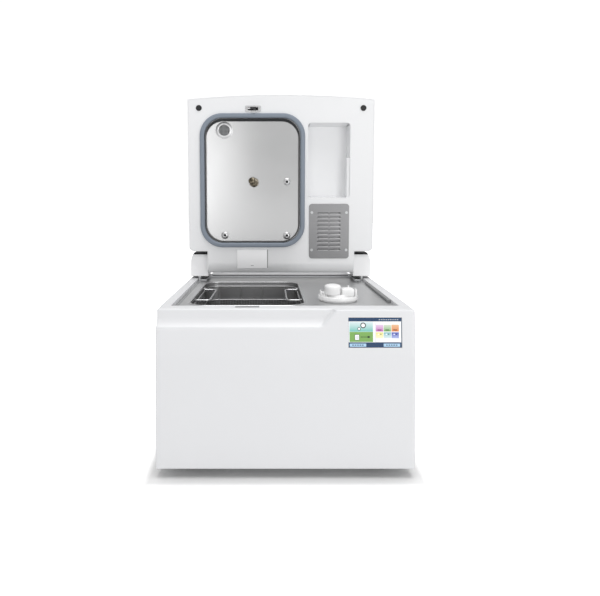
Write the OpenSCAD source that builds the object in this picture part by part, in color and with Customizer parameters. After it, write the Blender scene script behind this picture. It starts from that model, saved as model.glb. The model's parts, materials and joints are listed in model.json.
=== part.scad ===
// Top-loading benchtop instrument washer-disinfector with a lid that opens upwards on a rear hinge.
// Millimetres, +Z up, +X to the right, +Y to the back. The origin is on the bench under the middle
// of the body. The lid is drawn closed and then turned open about its hinge.

/* [Body] */
// Width of the body
body_w = 480; // [470:5:500]
// Depth of the body
body_d = 500; // [495:1:505]
// Height of the rim above the bench
rim_z = 312; // [308:1:320]
// Height of the feet
foot_h = 18; // [14:1:20]
// Thickness of the moulded covers
cover_t = 3; // [2.5:0.5:3.5]
// Thickness of the sheet metal panels
sheet_t = 2; // [1.5:0.5:2]
// Depth of the finger scoop under the lid edge
scoop_d = 14; // [10:1:15]
// Height of the finger scoop
scoop_h = 33; // [28:1:36]

/* [Chamber] */
// Width of the chamber opening
chamber_w = 234; // [226:1:236]
// Length of the chamber opening, front to back
chamber_len = 302; // [296:1:304]
// Height of the chamber floor above the bench
chamber_floor = 150; // [148:1:170]
// Corner radius of the chamber
chamber_r = 38; // [30:1:45]

/* [Lid] */
// Thickness of the lid
lid_t = 62; // [60:1:66]
// Angle at which the open lid stands
lid_open = 86; // [0:1:90]
// Height of the hinge axis above the rim
pivot_up = 50.4; // [49:0.2:52]
// Width of the gasket band
gasket_w = 12; // [9:1:13]

/* [Reservoir] */
// Diameter of the screw cap
cap_d = 83; // [78:1:86]
// Depth of the hollow in the lid for the screw cap
recess_d = 40; // [34:1:44]

/* [Display] */
// Width of the display window
screen_w = 99; // [90:1:100]
// Height of the display window
screen_h = 55; // [50:1:56]

/* [Hidden] */
$fn = 64;

// Body
side_x = body_w / 2;
front_y = -body_d / 2;
back_y = body_d / 2;
crease_z = rim_z - 86;
crease_lean = 4;
edge_r = 6;
lean_angle = atan(crease_lean / (rim_z - edge_r - crease_z));
wall_y = front_y + 25;
deck_y0 = front_y + 45;
deck_y1 = back_y - 30;
deck_x = side_x - 20;
deck_z = rim_z - 6;
deck_t = 1.5;
frame_z = rim_z - 8;
rear_y = back_y - 14;
rear_bar_z = rim_z + 4;
tray_h = 24;
scoop_x_top = 93;
scoop_x_low = 65;

// Chamber and basket
chamber_x = -75;
chamber_y = -30;
ch_x0 = chamber_x - chamber_w / 2;
ch_x1 = chamber_x + chamber_w / 2;
ch_y0 = chamber_y - chamber_len / 2;
ch_y1 = chamber_y + chamber_len / 2;
ch_t = 1.2;
sump_d = 64;
sump_z = chamber_floor - 24;
bk_x0 = ch_x0 + 3;
bk_x1 = ch_x1 - 3;
bk_y0 = ch_y0 + 6;
bk_y1 = ch_y1 - 6;
bk_r = chamber_r - ch_t - 4;
bk_t = 1.5;
bk_z0 = chamber_floor + 26;
bk_z1 = deck_z - 7;
bail_d = 4;
bail_half = 67;
bail_reach = 30;
bail_z = bk_z1 + bail_d / 2 + 0.4;
heater_z = chamber_floor + 13;

// Reservoir
cap_x = 115;
cap_y = -115;
neck_d = 60;
cap_base_z = deck_z + 2.3;
cap_disc_h = 12.5;

// Pump
pump_y = chamber_y;
pump_z = 68;
pump_x = -132;

// Display window, measured along the leaning upper front
screen_x0 = 116;
screen_z0 = 17;

// Hinge
pivot_y = 180.6;
pivot_z = rim_z + pivot_up;
shaft_d = 12;
run_fit = 0.05;
bush_d = 16;
cover_x0 = 193.5;
cover_y0 = 155;
cover_y1 = back_y - 5;
cover_z0 = rim_z + 6;
cover_z1 = rim_z + 69;
cover_wall = 2.5;
plate_x0 = 214;
plate_x1 = 219;

// Lid, closed
lid_z0 = rim_z + 2;
lid_z1 = lid_z0 + lid_t;
lid_bow = 11;
lid_front = front_y - 1;
lid_side_end = 153.6;
lid_rear = pivot_y + 35;
lid_mid_x = cover_x0 - 1.5;
lid_wall = 3;
barrel_y = pivot_y + 3;
barrel_r = 32;
bow_r = (side_x * side_x + lid_bow * lid_bow) / (2 * lid_bow);
gs_x0 = -209;
gs_x1 = 61.7;
gs_y0 = -203.7;
gs_y1 = 142.4;
gs_r = 58;
dish_z = lid_z0 + 8;
nozzle_x = -70;
nozzle_y = -26;
vent_x = 125;
vent_y = 100.5;
latch_x = -72;
latch_y = -215;
hook_x = -68;
hook_z = lid_z0 + 8;
bolt_z = rim_z - 5.8;

// ---- Shape helpers ----

// Round rectangle between two corners
module round_rect(x0, y0, x1, y1, r) {
    translate([x0 + r, y0]) square([x1 - x0 - 2 * r, y1 - y0]);
    translate([x0, y0 + r]) square([x1 - x0, y1 - y0 - 2 * r]);
    for (x = [x0 + r, x1 - r], y = [y0 + r, y1 - r]) translate([x, y]) circle(r = r);
}

// Upright plate or block with round corners in plan
module slab(x0, y0, x1, y1, r, z0, z1) {
    translate([0, 0, z0]) linear_extrude(z1 - z0) round_rect(x0, y0, x1, y1, r);
}

// Box between two corners
module block(a, b) {
    translate(a) cube(b - a);
}

module rod_x(x0, x1, y, z, d) {
    translate([x0, y, z]) rotate([0, 90, 0]) cylinder(d = d, h = x1 - x0);
}

module rod_y(y0, y1, x, z, d) {
    translate([x, y0, z]) rotate([-90, 0, 0]) cylinder(d = d, h = y1 - y0);
}

module rod_z(z0, z1, x, y, d) {
    translate([x, y, z0]) cylinder(d = d, h = z1 - z0);
}

// A drawing in Y and Z, drawn out along X
module along_x(x0, x1) {
    translate([x0, 0, 0]) rotate([90, 0, 90]) linear_extrude(x1 - x0) children();
}

// A drawing in X and Z, drawn out along Y
module along_y(y0, y1) {
    translate([0, y1, 0]) rotate([90, 0, 0]) linear_extrude(y1 - y0) children();
}

// Moves a part of the lid from closed to open
module lid_pose() {
    translate([0, pivot_y, pivot_z]) rotate([-lid_open, 0, 0])
        translate([0, -pivot_y, -pivot_z]) children();
}

// Local frame of the leaning upper front: Y runs into the cover, Z up from the crease
module on_upper_front() {
    translate([0, front_y, crease_z]) rotate([-lean_angle, 0, 0]) children();
}

module both_sides() {
    children();
    mirror([1, 0, 0]) children();
}

// ---- Body covers ----

// Side view of the front cover, drawn in by t on every face but the bottom
module front_profile(t) {
    top = rim_z - t;
    polygon([
        [front_y + crease_lean + t, foot_h - (t > 0 ? 1 : 0)],
        [front_y + t, crease_z],
        [front_y + crease_lean + t, rim_z - edge_r],
        [front_y + crease_lean + edge_r, rim_z - edge_r],
        [front_y + crease_lean + edge_r, top],
        [deck_y0 + (t > 0 ? 1 : 0), top],
        [deck_y0 + (t > 0 ? 1 : 0), foot_h - (t > 0 ? 1 : 0)]
    ]);
    translate([front_y + crease_lean + edge_r, rim_z - edge_r]) circle(r = edge_r - t);
}

// The finger scoop: a hollow that runs out of the left side and ends in a slant on the right
module scoop(t) {
    lean = (scoop_x_top - scoop_x_low) / scoop_h;
    intersection() {
        along_x(-side_x - 1, scoop_x_top + 20) polygon([
            [front_y - 1, rim_z + 1],
            [front_y + scoop_d + t, rim_z + 1],
            [front_y + scoop_d - 1 + t, rim_z - 20],
            [front_y + t, rim_z - scoop_h - 1.4 * t],
            [front_y - 1, rim_z - scoop_h - 1.4 * t]
        ]);
        along_y(front_y - 2, front_y + scoop_d + 20) polygon([
            [-side_x - 2, rim_z - scoop_h - 10],
            [scoop_x_low + t - 10 * lean, rim_z - scoop_h - 10],
            [scoop_x_top + t + 2 * lean, rim_z + 2],
            [-side_x - 2, rim_z + 2]
        ]);
    }
}

module front_cover() {
    color("white") difference() {
        union() {
            difference() {
                along_x(-side_x, side_x) front_profile(0);
                along_x(-side_x + cover_t, side_x - cover_t) front_profile(cover_t);
                block([-side_x - 1, wall_y, 0], [side_x + 1, deck_y0 + 1, frame_z]);
            }
            intersection() {
                scoop(cover_t);
                along_x(-side_x, side_x) front_profile(0);
            }
            block([-deck_x, deck_y0 - 3, frame_z + 0.5], [deck_x, deck_y0, rim_z - cover_t]);
        }
        scoop(0);
        on_upper_front()
            block([screen_x0, -2, screen_z0], [screen_x0 + screen_w, cover_t + 2, screen_z0 + screen_h]);
        block([-95, latch_y - 9, rim_z - 10], [-49, latch_y + 5, rim_z + 1]);
    }
}

module base_tray() {
    color("gainsboro") difference() {
        union() {
            block([-side_x + sheet_t, wall_y, foot_h], [side_x - sheet_t, rear_y - sheet_t, foot_h + tray_h]);
            block([-side_x + 4, front_y + 10, foot_h], [side_x - 4, wall_y, foot_h + tray_h]);
        }
        block([-side_x + 6, front_y + 12, foot_h + sheet_t], [side_x - 6, rear_y - 4, foot_h + tray_h + 1]);
        rod_y(rear_y - 5, rear_y, -130, 44, 23);
        block([19, rear_y - 5, 39], [49, rear_y, 64]);
    }
}

module side_cover() {
    color("whitesmoke") difference() {
        block([side_x - sheet_t, wall_y, foot_h], [side_x, back_y, frame_z]);
        for (i = [0:7]) {
            z = foot_h + 30 + 9 * i;
            block([side_x - sheet_t - 1, 110, z], [side_x + 1, 190, z + 4]);
        }
    }
}

module side_cover_left() {
    mirror([1, 0, 0]) side_cover();
}

module side_cover_right() {
    side_cover();
}

// Rear panel, set in under the rim so that its fittings stay inside the depth of the body
module rear_cover() {
    color("whitesmoke") difference() {
        block([-side_x + sheet_t, rear_y - sheet_t, foot_h], [side_x - sheet_t, rear_y, frame_z]);
        for (i = [0:9]) {
            z = 62 + 8 * i;
            block([122, rear_y - 5, z], [198, rear_y + 1, z + 4]);
        }
        for (i = [0:5]) {
            z = 210 + 9 * i;
            block([-60, rear_y - 5, z], [20, rear_y + 1, z + 4]);
        }
        rod_y(rear_y - 5, rear_y + 1, -185, 200, 27);
        rod_y(rear_y - 5, rear_y + 1, -130, 44, 23);
        block([20, rear_y - 5, 40], [48, rear_y + 1, 62]);
        block([58, rear_y - 5, 42], [78, rear_y + 1, 60]);
    }
}

module top_frame() {
    color("white") {
        difference() {
            block([-side_x, deck_y0, frame_z], [side_x, back_y, rim_z]);
            block([-deck_x, deck_y0 - 1, frame_z - 1], [deck_x, deck_y1, rim_z + 1]);
        }
        block([-cover_x0 + 3, deck_y1, rim_z - 1], [cover_x0 - 3, back_y, rear_bar_z]);
    }
}

module steel_deck() {
    color("silver") difference() {
        block([-deck_x, deck_y0, deck_z - deck_t], [deck_x, deck_y1, deck_z]);
        slab(ch_x0 - ch_t, ch_y0 - ch_t, ch_x1 + ch_t, ch_y1 + ch_t, chamber_r, deck_z - 3, deck_z + 1);
        rod_z(deck_z - 3, deck_z + 1, cap_x, cap_y, neck_d);
    }
}

// Rails under the rim with four legs down to the tray
module chassis_frame() {
    color("lightgray") both_sides() {
        block([deck_x + 4, deck_y0 + 5, frame_z - 18], [side_x - 4, rear_y - 6, frame_z]);
        for (y = [-180, 190])
            block([side_x - 14, y, foot_h + sheet_t], [side_x - 6, y + 25, frame_z - 18]);
    }
}

module feet() {
    color("dimgray") for (x = [-185, 185], y = [-195, 195]) {
        rod_z(0, foot_h - 4, x, y, 34);
        rod_z(foot_h - 4, foot_h, x, y, 26);
    }
}

module cover_screws() {
    color("silver") for (x = [-225, -90, 90, 225], z = [150, 292])
        translate([x, rear_y, z]) rotate([-90, 0, 0]) difference() {
            cylinder(d = 8, h = 2);
            translate([0, 0, 1]) cylinder(d = 4, h = 2, $fn = 6);
        }
}

// ---- Chamber and water circuit ----

module chamber() {
    color("darkgray") difference() {
        union() {
            slab(ch_x0 - ch_t, ch_y0 - ch_t, ch_x1 + ch_t, ch_y1 + ch_t, chamber_r,
                chamber_floor - ch_t, deck_z + 1);
            rod_z(sump_z, chamber_floor - ch_t, chamber_x, chamber_y, sump_d + 2 * ch_t);
        }
        slab(ch_x0, ch_y0, ch_x1, ch_y1, chamber_r - ch_t, chamber_floor, deck_z + 2);
        rod_z(sump_z + ch_t, chamber_floor + 1, chamber_x, chamber_y, sump_d);
        rod_z(sump_z - 1, chamber_floor, chamber_x, chamber_y, 28);
        for (s = [-1, 1]) rod_x(ch_x1 - 4, ch_x1 + 4, chamber_y + 20 * s, heater_z, 8 + 2 * run_fit);
    }
}

module drain_strainer() {
    color("lightsteelblue") {
        difference() {
            union() {
                rod_z(sump_z + 6, chamber_floor, chamber_x, chamber_y, sump_d - 4);
                rod_z(chamber_floor + 0.3, chamber_floor + 2, chamber_x, chamber_y, sump_d + 10);
                rod_z(chamber_floor - 1, chamber_floor + 1, chamber_x, chamber_y, sump_d - 4);
            }
            rod_z(sump_z + 7.5, chamber_floor + 3, chamber_x, chamber_y, sump_d - 8);
            for (a = [0:30:330], z = [sump_z + 11, sump_z + 18])
                translate([chamber_x, chamber_y, z]) rotate([0, 90, a]) cylinder(d = 5, h = sump_d);
        }
        block([chamber_x - 29, chamber_y - 2, chamber_floor - 6], [chamber_x + 29, chamber_y + 2, chamber_floor + 8]);
    }
}

module drain_elbow() {
    color("gray") difference() {
        union() {
            rod_z(pump_z, sump_z, chamber_x, chamber_y, 34);
            rod_x(pump_x + 40, chamber_x, chamber_y, pump_z, 34);
            translate([chamber_x, chamber_y, pump_z]) sphere(d = 34);
        }
        rod_z(pump_z, sump_z + 1, chamber_x, chamber_y, 28);
        rod_x(pump_x + 39, chamber_x, chamber_y, pump_z, 28);
        translate([chamber_x, chamber_y, pump_z]) sphere(d = 28);
    }
}

// Quarter of a bent tube in the plane of the heater, starting at the given angle
module heater_bend(x, y, r, start) {
    translate([x, y, heater_z]) rotate([0, 0, start]) rotate_extrude(angle = 90) translate([r, 0]) circle(d = 8);
}

// Tube bent into a round rectangle, with two ends that leave through the chamber wall
module heater_element() {
    x0 = ch_x0 + 20;
    x1 = ch_x1 - 26;
    y0 = ch_y0 + 24;
    y1 = ch_y1 - 24;
    r = 24;
    leg = 20;
    bend = 8;
    color("dimgray") {
        rod_y(y0 + r, y1 - r, x0, heater_z, 8);
        for (y = [y0, y1]) rod_x(x0 + r, x1 - r, y, heater_z, 8);
        rod_y(y0 + r, chamber_y - leg - bend, x1, heater_z, 8);
        rod_y(chamber_y + leg + bend, y1 - r, x1, heater_z, 8);
        heater_bend(x0 + r, y0 + r, r, 180);
        heater_bend(x1 - r, y0 + r, r, 270);
        heater_bend(x1 - r, y1 - r, r, 0);
        heater_bend(x0 + r, y1 - r, r, 90);
        heater_bend(x1 + bend, chamber_y - leg - bend, bend, 90);
        heater_bend(x1 + bend, chamber_y + leg + bend, bend, 180);
        for (s = [-1, 1]) rod_x(x1 + bend, ch_x1 + 14, chamber_y + leg * s, heater_z, 8);
    }
}

module ultrasonic_transducers() {
    color("slategray") for (x = [chamber_x - 75, chamber_x + 75], y = [-120, chamber_y, 60]) {
        rod_z(chamber_floor - ch_t - 12, chamber_floor - ch_t, x, y, 44);
        rod_z(chamber_floor - ch_t - 34, chamber_floor - ch_t - 12, x, y, 34);
    }
}

module wash_pump() {
    color("darkslategray") difference() {
        union() {
            rod_x(pump_x - 82, pump_x, pump_y, pump_z, 72);
            rod_x(pump_x, pump_x + 36, pump_y, pump_z, 88);
            rod_x(pump_x + 36, pump_x + 40, pump_y, pump_z, 34);
            rod_y(pump_y - 76, pump_y - 20, pump_x + 18, pump_z + 30, 20);
            block([pump_x - 70, pump_y - 22, foot_h + sheet_t], [pump_x - 20, pump_y + 22, pump_z - 20]);
        }
        rod_x(pump_x + 5, pump_x + 31, pump_y, pump_z, 70);
        rod_x(pump_x + 25, pump_x + 41, pump_y, pump_z, 28);
        rod_x(pump_x - 20, pump_x + 10, pump_y, pump_z, 8 + 2 * run_fit);
        rod_y(pump_y - 77, pump_y - 20, pump_x + 18, pump_z + 30, 14);
    }
}

module pump_impeller() {
    color("ivory") {
        rod_x(pump_x - 19, pump_x + 26, pump_y, pump_z, 8);
        difference() {
            rod_x(pump_x + 8, pump_x + 26, pump_y, pump_z, 16);
            rod_x(pump_x + 7, pump_x + 27, pump_y, pump_z, 8);
        }
        difference() {
            rod_x(pump_x + 8, pump_x + 11, pump_y, pump_z, 62);
            rod_x(pump_x + 7, pump_x + 12, pump_y, pump_z, 16);
        }
        for (a = [0:60:300]) translate([pump_x + 11, pump_y, pump_z]) rotate([a, 0, 0])
            translate([0, -1.5, 9]) cube([13, 3, 20]);
    }
}

module drain_pump() {
    color("darkslategray") difference() {
        union() {
            rod_z(foot_h + sheet_t, 84, 0, 80, 60);
            rod_z(84, 104, 0, 80, 22);
            rod_y(80, 140, 0, 44, 22);
        }
        rod_z(80, 105, 0, 80, 16);
        rod_y(112, 141, 0, 44, 16);
    }
}

module inlet_valve() {
    color("steelblue") {
        block([-205, rear_y - 44, 182], [-165, rear_y - sheet_t, 218]);
        rod_z(218, 244, -185, rear_y - 24, 30);
    }
}

module dosing_pump() {
    color("slateblue") {
        block([80, rear_y - 40, 220], [136, rear_y - sheet_t, 276]);
        rod_y(rear_y - 62, rear_y - 40, 108, 248, 46);
    }
}

module softener_tank() {
    color("mintcream") difference() {
        union() {
            slab(62, -192, 200, -42, 14, 110, 290);
            rod_z(290, deck_z - deck_t, cap_x, cap_y, neck_d + 12);
        }
        slab(65, -189, 197, -45, 11, 113, 287);
        rod_z(280, rim_z, cap_x, cap_y, neck_d);
    }
}

// Threaded collar that stands through the deck
module softener_neck() {
    color("white") difference() {
        union() {
            rod_z(deck_z, deck_z + 2, cap_x, cap_y, cap_d - 5);
            rod_z(deck_z - 12, deck_z + 10, cap_x, cap_y, neck_d);
        }
        rod_z(deck_z - 13, deck_z + 11, cap_x, cap_y, neck_d - 8);
    }
}

module screw_cap() {
    top = cap_base_z + cap_disc_h;
    color("white") difference() {
        union() {
            rod_z(cap_base_z, top, cap_x, cap_y, cap_d);
            rod_z(top, top + 1, cap_x, cap_y, cap_d - 6);
            rod_z(top + 1, top + 12, cap_x, cap_y, 44);
            rod_z(top + 12, top + 18, cap_x, cap_y, 30);
            for (a = [0:45:315]) translate([cap_x, cap_y, top + 1]) rotate([0, 0, a])
                translate([cap_d / 2 - 13, -5, 0]) cube([9, 10, 11]);
        }
        rod_z(cap_base_z - 1, cap_base_z + 9.9, cap_x, cap_y, neck_d + 1);
    }
}

module cap_seal() {
    color("black") difference() {
        rod_z(cap_base_z + 8, cap_base_z + 9.9, cap_x, cap_y, neck_d - 0.5);
        rod_z(cap_base_z + 7, cap_base_z + 11, cap_x, cap_y, neck_d - 10);
    }
}

// ---- Electrics ----

module power_supply() {
    color("lightgray") difference() {
        block([100, 50, foot_h + sheet_t], [210, 185, 64]);
        for (i = [0:8]) block([112 + 11 * i, 60, 62], [116 + 11 * i, 150, 66]);
    }
}

module control_board() {
    color("darkgreen") {
        block([70, -224, 50], [215, -222.4, 205]);
        for (z = [62, 92, 122]) block([80, -222.4, z], [104, -208, z + 18]);
        for (x = [130, 160]) rod_y(-222.4, -204, x, 90, 18);
        block([120, -222.4, 130], [170, -216, 180]);
        for (x = [76, 209], z = [56, 199]) rod_y(-241.5, -224, x, z, 7);
    }
}

module display_glass() {
    gap = 0.1;
    color("midnightblue") on_upper_front()
        block([screen_x0 + gap, 0.5, screen_z0 + gap],
            [screen_x0 + screen_w - gap, 2.5, screen_z0 + screen_h - gap]);
}

module display_module() {
    color("dimgray") on_upper_front() {
        block([screen_x0 + 1, 2.5, screen_z0 + 1], [screen_x0 + screen_w - 1, cover_t, screen_z0 + screen_h - 1]);
        block([screen_x0 - 4, cover_t, screen_z0 - 4],
            [screen_x0 + screen_w + 4, 9, screen_z0 + screen_h + 4]);
    }
}

module fan_housing() {
    color("black") {
        difference() {
            block([120, rear_y - 27, 60], [200, rear_y - sheet_t, 140]);
            rod_y(rear_y - 28, rear_y, 160, 100, 74);
        }
        rod_y(rear_y - 6, rear_y - sheet_t, 160, 100, 26);
        for (a = [0:120:240]) translate([160, rear_y - 6, 100]) rotate([0, a, 0])
            translate([10, 0, -2]) cube([29, 3, 4]);
    }
}

module fan_rotor() {
    color("dimgray") {
        rod_y(rear_y - 25, rear_y - 8, 160, 100, 28);
        for (a = [0:360 / 7:359]) translate([160, rear_y - 16, 100]) rotate([0, a, 0])
            rotate([35, 0, 0]) translate([12, -1, -8]) cube([22, 1.6, 16]);
    }
}

module mains_inlet() {
    color("black") difference() {
        union() {
            block([20.1, rear_y - 22, 40.1], [47.9, rear_y, 61.9]);
            block([15, rear_y, 36], [53, rear_y + 3, 66]);
        }
        block([23, rear_y - 14, 43], [45, rear_y + 4, 59]);
    }
}

module power_rocker() {
    color("black") {
        translate([68, rear_y - 1, 51]) rotate([6, 0, 0]) block([-8.5, -4, -8], [8.5, 4, 8]);
        rod_x(58.5, 77.5, rear_y - 1, 51, 3);
    }
}

module water_inlet() {
    color("goldenrod") difference() {
        union() {
            rod_y(rear_y - sheet_t, back_y, -185, 200, 26.4);
            rod_y(rear_y, rear_y + 1.5, -185, 200, 32);
        }
        rod_y(rear_y - 1, back_y + 1, -185, 200, 15);
    }
}

module drain_outlet() {
    color("gray") difference() {
        union() {
            rod_y(rear_y - 16, back_y, -130, 44, 22);
            rod_y(rear_y, rear_y + 2, -130, 44, 30);
        }
        rod_y(rear_y - 15, back_y + 1, -130, 44, 16);
    }
}

// ---- Hinge ----

module hinge_bracket() {
    color("silver") difference() {
        union() {
            block([plate_x0, 158, deck_z], [plate_x1, 216, deck_z + 26]);
            along_x(plate_x0, plate_x1) {
                translate([pivot_y, pivot_z]) circle(r = 14);
                translate([pivot_y - 14, deck_z]) square([28, pivot_z - deck_z]);
            }
            block([198, 158, deck_z], [plate_x0, 216, deck_z + 3]);
            block([plate_x1, 190, rim_z], [side_x - 4, 216, cover_z0]);
        }
        rod_x(plate_x0 - 1, plate_x1 + 1, pivot_y, pivot_z, bush_d);
    }
}

module hinge_bracket_left() {
    mirror([1, 0, 0]) hinge_bracket();
}

module hinge_bracket_right() {
    hinge_bracket();
}

// Outside form of a hinge cover, drawn in by t
module hinge_cover_form(t) {
    r = 15 - t;
    lower = t > 0 ? 1 : 0;
    intersection() {
        along_x(cover_x0 + t, side_x + 1) {
            translate([cover_y0 + 15, cover_z0 + 15]) square([cover_y1 - cover_y0 - 30, cover_z1 - cover_z0 - 15 - t]);
            translate([cover_y0 + t, cover_z0 - lower])
                square([cover_y1 - cover_y0 - 2 * t, cover_z1 - cover_z0 - 15 + lower]);
            for (y = [cover_y0 + 15, cover_y1 - 15]) translate([y, cover_z1 - 15]) circle(r = r);
        }
        along_y(cover_y0, cover_y1) polygon(concat(
            [[cover_x0, cover_z0 - 2], [side_x - t, cover_z0 - 2]],
            [for (a = [0:9:90]) [side_x - 9 - t + 9 * cos(a), cover_z1 - 36 + 36 * sin(a)]],
            [[cover_x0, cover_z1]]
        ));
    }
}

module hinge_cover() {
    color("gainsboro") difference() {
        hinge_cover_form(0);
        hinge_cover_form(cover_wall);
        rod_x(cover_x0 - 1, cover_x0 + cover_wall + 1, pivot_y, pivot_z, shaft_d + 2);
    }
}

module hinge_cover_left() {
    mirror([1, 0, 0]) hinge_cover();
}

module hinge_cover_right() {
    hinge_cover();
}

module hinge_bushes() {
    color("peru") both_sides() difference() {
        rod_x(plate_x0, plate_x1 + 1, pivot_y, pivot_z, bush_d);
        rod_x(plate_x0 - 1, plate_x1 + 2, pivot_y, pivot_z, shaft_d + 2 * run_fit);
    }
}

module hinge_shaft() {
    color("silver") lid_pose() rod_x(-plate_x1 - 5, plate_x1 + 5, pivot_y, pivot_z, shaft_d);
}

// Wire coil round the hinge axis, with a straight leg at each end
module torsion_spring(x0, x1, r, wire_r, turns, sides) {
    steps = 20 * turns;
    rings = [for (i = [0:steps])
        let (a = 360 * turns * i / steps)
        [for (k = [0:sides - 1])
            let (b = 360 * k / sides)
            [x0 + (x1 - x0) * i / steps + wire_r * sin(b),
                (r + wire_r * cos(b)) * cos(a),
                (r + wire_r * cos(b)) * sin(a)]]];
    points = [for (ring = rings, p = ring) p];
    walls = [for (i = [0:steps - 1], k = [0:sides - 1])
        let (n = (k + 1) % sides)
        [i * sides + k, i * sides + n, (i + 1) * sides + n, (i + 1) * sides + k]];
    ends = [[for (k = [sides - 1:-1:0]) k], [for (k = [0:sides - 1]) steps * sides + k]];
    translate([0, pivot_y, pivot_z]) polyhedron(points, concat(walls, ends), convexity = 8);
}

module torsion_springs() {
    color("dimgray") both_sides() torsion_spring(199.5, 211.5, 9.6, 1, 4, 8);
}

// ---- Lid lock ----

module lock_housing() {
    color("dimgray") difference() {
        union() {
            block([-98, latch_y - 13, rim_z - 44], [-46, latch_y + 7, rim_z - cover_t]);
            block([-132, latch_y - 11, rim_z - 20], [-98, latch_y + 6, rim_z - cover_t]);
        }
        block([-96, latch_y - 11, rim_z - 42], [-48, latch_y + 5, rim_z]);
        rod_x(-128, -95, latch_y, bolt_z, 4 + 2 * run_fit);
    }
}

module lock_bolt() {
    color("silver") rod_x(-118, -86, latch_y, bolt_z, 4);
}

// ---- Lid ----

// Plan of the lid with a bowed front edge, drawn in by t
module lid_plan(t) {
    intersection() {
        union() {
            round_rect(-side_x + t, lid_front + t - 20, side_x - t, lid_side_end - t, 12 - t);
            translate([-lid_mid_x + t, lid_front + 60]) square([2 * lid_mid_x - 2 * t, lid_rear + 5 - lid_front - 60]);
        }
        translate([0, lid_front + bow_r]) circle(r = bow_r - t, $fn = 720);
    }
}

// Side view of the lid with a round front edge and a round rear end, drawn in by t
module lid_profile(t) {
    r = 20;
    translate([lid_front + t, lid_z0 + t]) square([barrel_y - lid_front - t, lid_t - r - t]);
    translate([lid_front + r, lid_z0 + t]) square([barrel_y - lid_front - r, lid_t - 2 * t]);
    translate([lid_front + r, lid_z1 - r]) circle(r = r - t);
    translate([barrel_y, lid_z0 + barrel_r]) circle(r = barrel_r - t);
    translate([barrel_y, lid_z0 + barrel_r]) square([lid_rear - barrel_y - t, lid_t - barrel_r - 18]);
    translate([barrel_y, lid_z0 + barrel_r]) square([lid_rear - barrel_y - 18, lid_t - barrel_r - t]);
    translate([lid_rear - 18, lid_z1 - 18]) circle(r = 18 - t);
}

module lid_shell() {
    color("white") lid_pose() difference() {
        intersection() {
            translate([0, 0, lid_z0 - 1]) linear_extrude(lid_t + 2) lid_plan(0);
            along_x(-side_x - 1, side_x + 1) lid_profile(0);
        }
        intersection() {
            translate([0, 0, lid_z0 - 1]) linear_extrude(lid_t + 2) lid_plan(lid_wall);
            along_x(-side_x, side_x) lid_profile(lid_wall);
        }
        translate([0, 0, lid_z0 - 1]) linear_extrude(lid_wall + 1.1) intersection() {
            lid_plan(lid_wall);
            translate([-side_x, lid_front - 1]) square([body_w, barrel_y - lid_front + 1]);
        }
        rod_x(-side_x, side_x, pivot_y, pivot_z, shaft_d);
    }
}

// Inner panel with the chamber opening, the hollow for the screw cap, the vent and the latch window
module lid_panel() {
    z1 = lid_z0 + lid_wall;
    color("white") lid_pose() difference() {
        union() {
            translate([0, 0, lid_z0]) linear_extrude(lid_wall) intersection() {
                lid_plan(lid_wall);
                translate([-side_x, lid_front - 1]) square([body_w, barrel_y - lid_front + 1]);
            }
            slab(66.4, -183, 181.5, 17, 13, z1, lid_z0 + recess_d + lid_wall);
            slab(-114.5, 149, -36, barrel_y, 3, lid_z0 - 3, lid_z0);
        }
        slab(gs_x0, gs_y0, gs_x1, gs_y1, gs_r, lid_z0 - 1, z1 + 1);
        difference() {
            slab(69.4, -180, 178.5, 14, 10, lid_z0 - 1, lid_z0 + recess_d);
            block([171, -90, lid_z0 + 4], [179, 15, lid_z0 + recess_d + 1]);
        }
        block([94, 45, lid_z0 - 1], [156, 152, z1 + 1]);
        block([latch_x - 13, latch_y - 4, lid_z0 - 1], [latch_x + 13, latch_y + 4, z1 + 1]);
    }
}

// Pressed steel dish that closes the chamber
module lid_plate() {
    x0 = gs_x0 + gasket_w;
    x1 = gs_x1 - gasket_w;
    y0 = gs_y0 + gasket_w;
    y1 = gs_y1 - gasket_w;
    r = gs_r - gasket_w;
    t = 1.5;
    z1 = lid_z0 + lid_wall;
    color("gainsboro") lid_pose() difference() {
        union() {
            slab(gs_x0 - 3, gs_y0 - 3, gs_x1 + 3, gs_y1 + 3, gs_r + 3, z1, z1 + t);
            slab(x0 - t, y0 - t, x1 + t, y1 + t, r + t, z1, dish_z + t);
        }
        slab(x0, y0, x1, y1, r, z1 - 1, dish_z);
        rod_z(dish_z - 1, dish_z + 3, nozzle_x, nozzle_y, 14);
        for (p = lid_port_places()) rod_z(dish_z - 1, dish_z + 3, p[0], p[1], 10);
        rod_z(dish_z - 1, dish_z + 3, -147, -161, 30);
    }
}

module lid_gasket() {
    z1 = lid_z0 + lid_wall;
    x0 = gs_x0 + gasket_w;
    x1 = gs_x1 - gasket_w;
    y0 = gs_y0 + gasket_w;
    y1 = gs_y1 - gasket_w;
    color("slategray") lid_pose() difference() {
        slab(gs_x0, gs_y0, gs_x1, gs_y1, gs_r, deck_z + 0.4, z1);
        slab(x0, y0, x1, y1, gs_r - gasket_w, deck_z - 1, z1 + 1);
    }
}

module spray_nozzle() {
    color("goldenrod") lid_pose() difference() {
        union() {
            translate([nozzle_x, nozzle_y, dish_z - 9]) cylinder(d = 26, h = 9, $fn = 6);
            rod_z(dish_z - 18, dish_z - 9, nozzle_x, nozzle_y, 18);
            translate([nozzle_x, nozzle_y, dish_z - 18]) sphere(d = 18);
            rod_z(dish_z, dish_z + 1.5, nozzle_x, nozzle_y, 14);
        }
        translate([nozzle_x, nozzle_y, dish_z - 30]) cylinder(d = 4, h = 40);
        for (a = [0:60:300]) translate([nozzle_x, nozzle_y, dish_z - 16]) rotate([130, 0, a])
            cylinder(d = 3, h = 20);
    }
}

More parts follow.
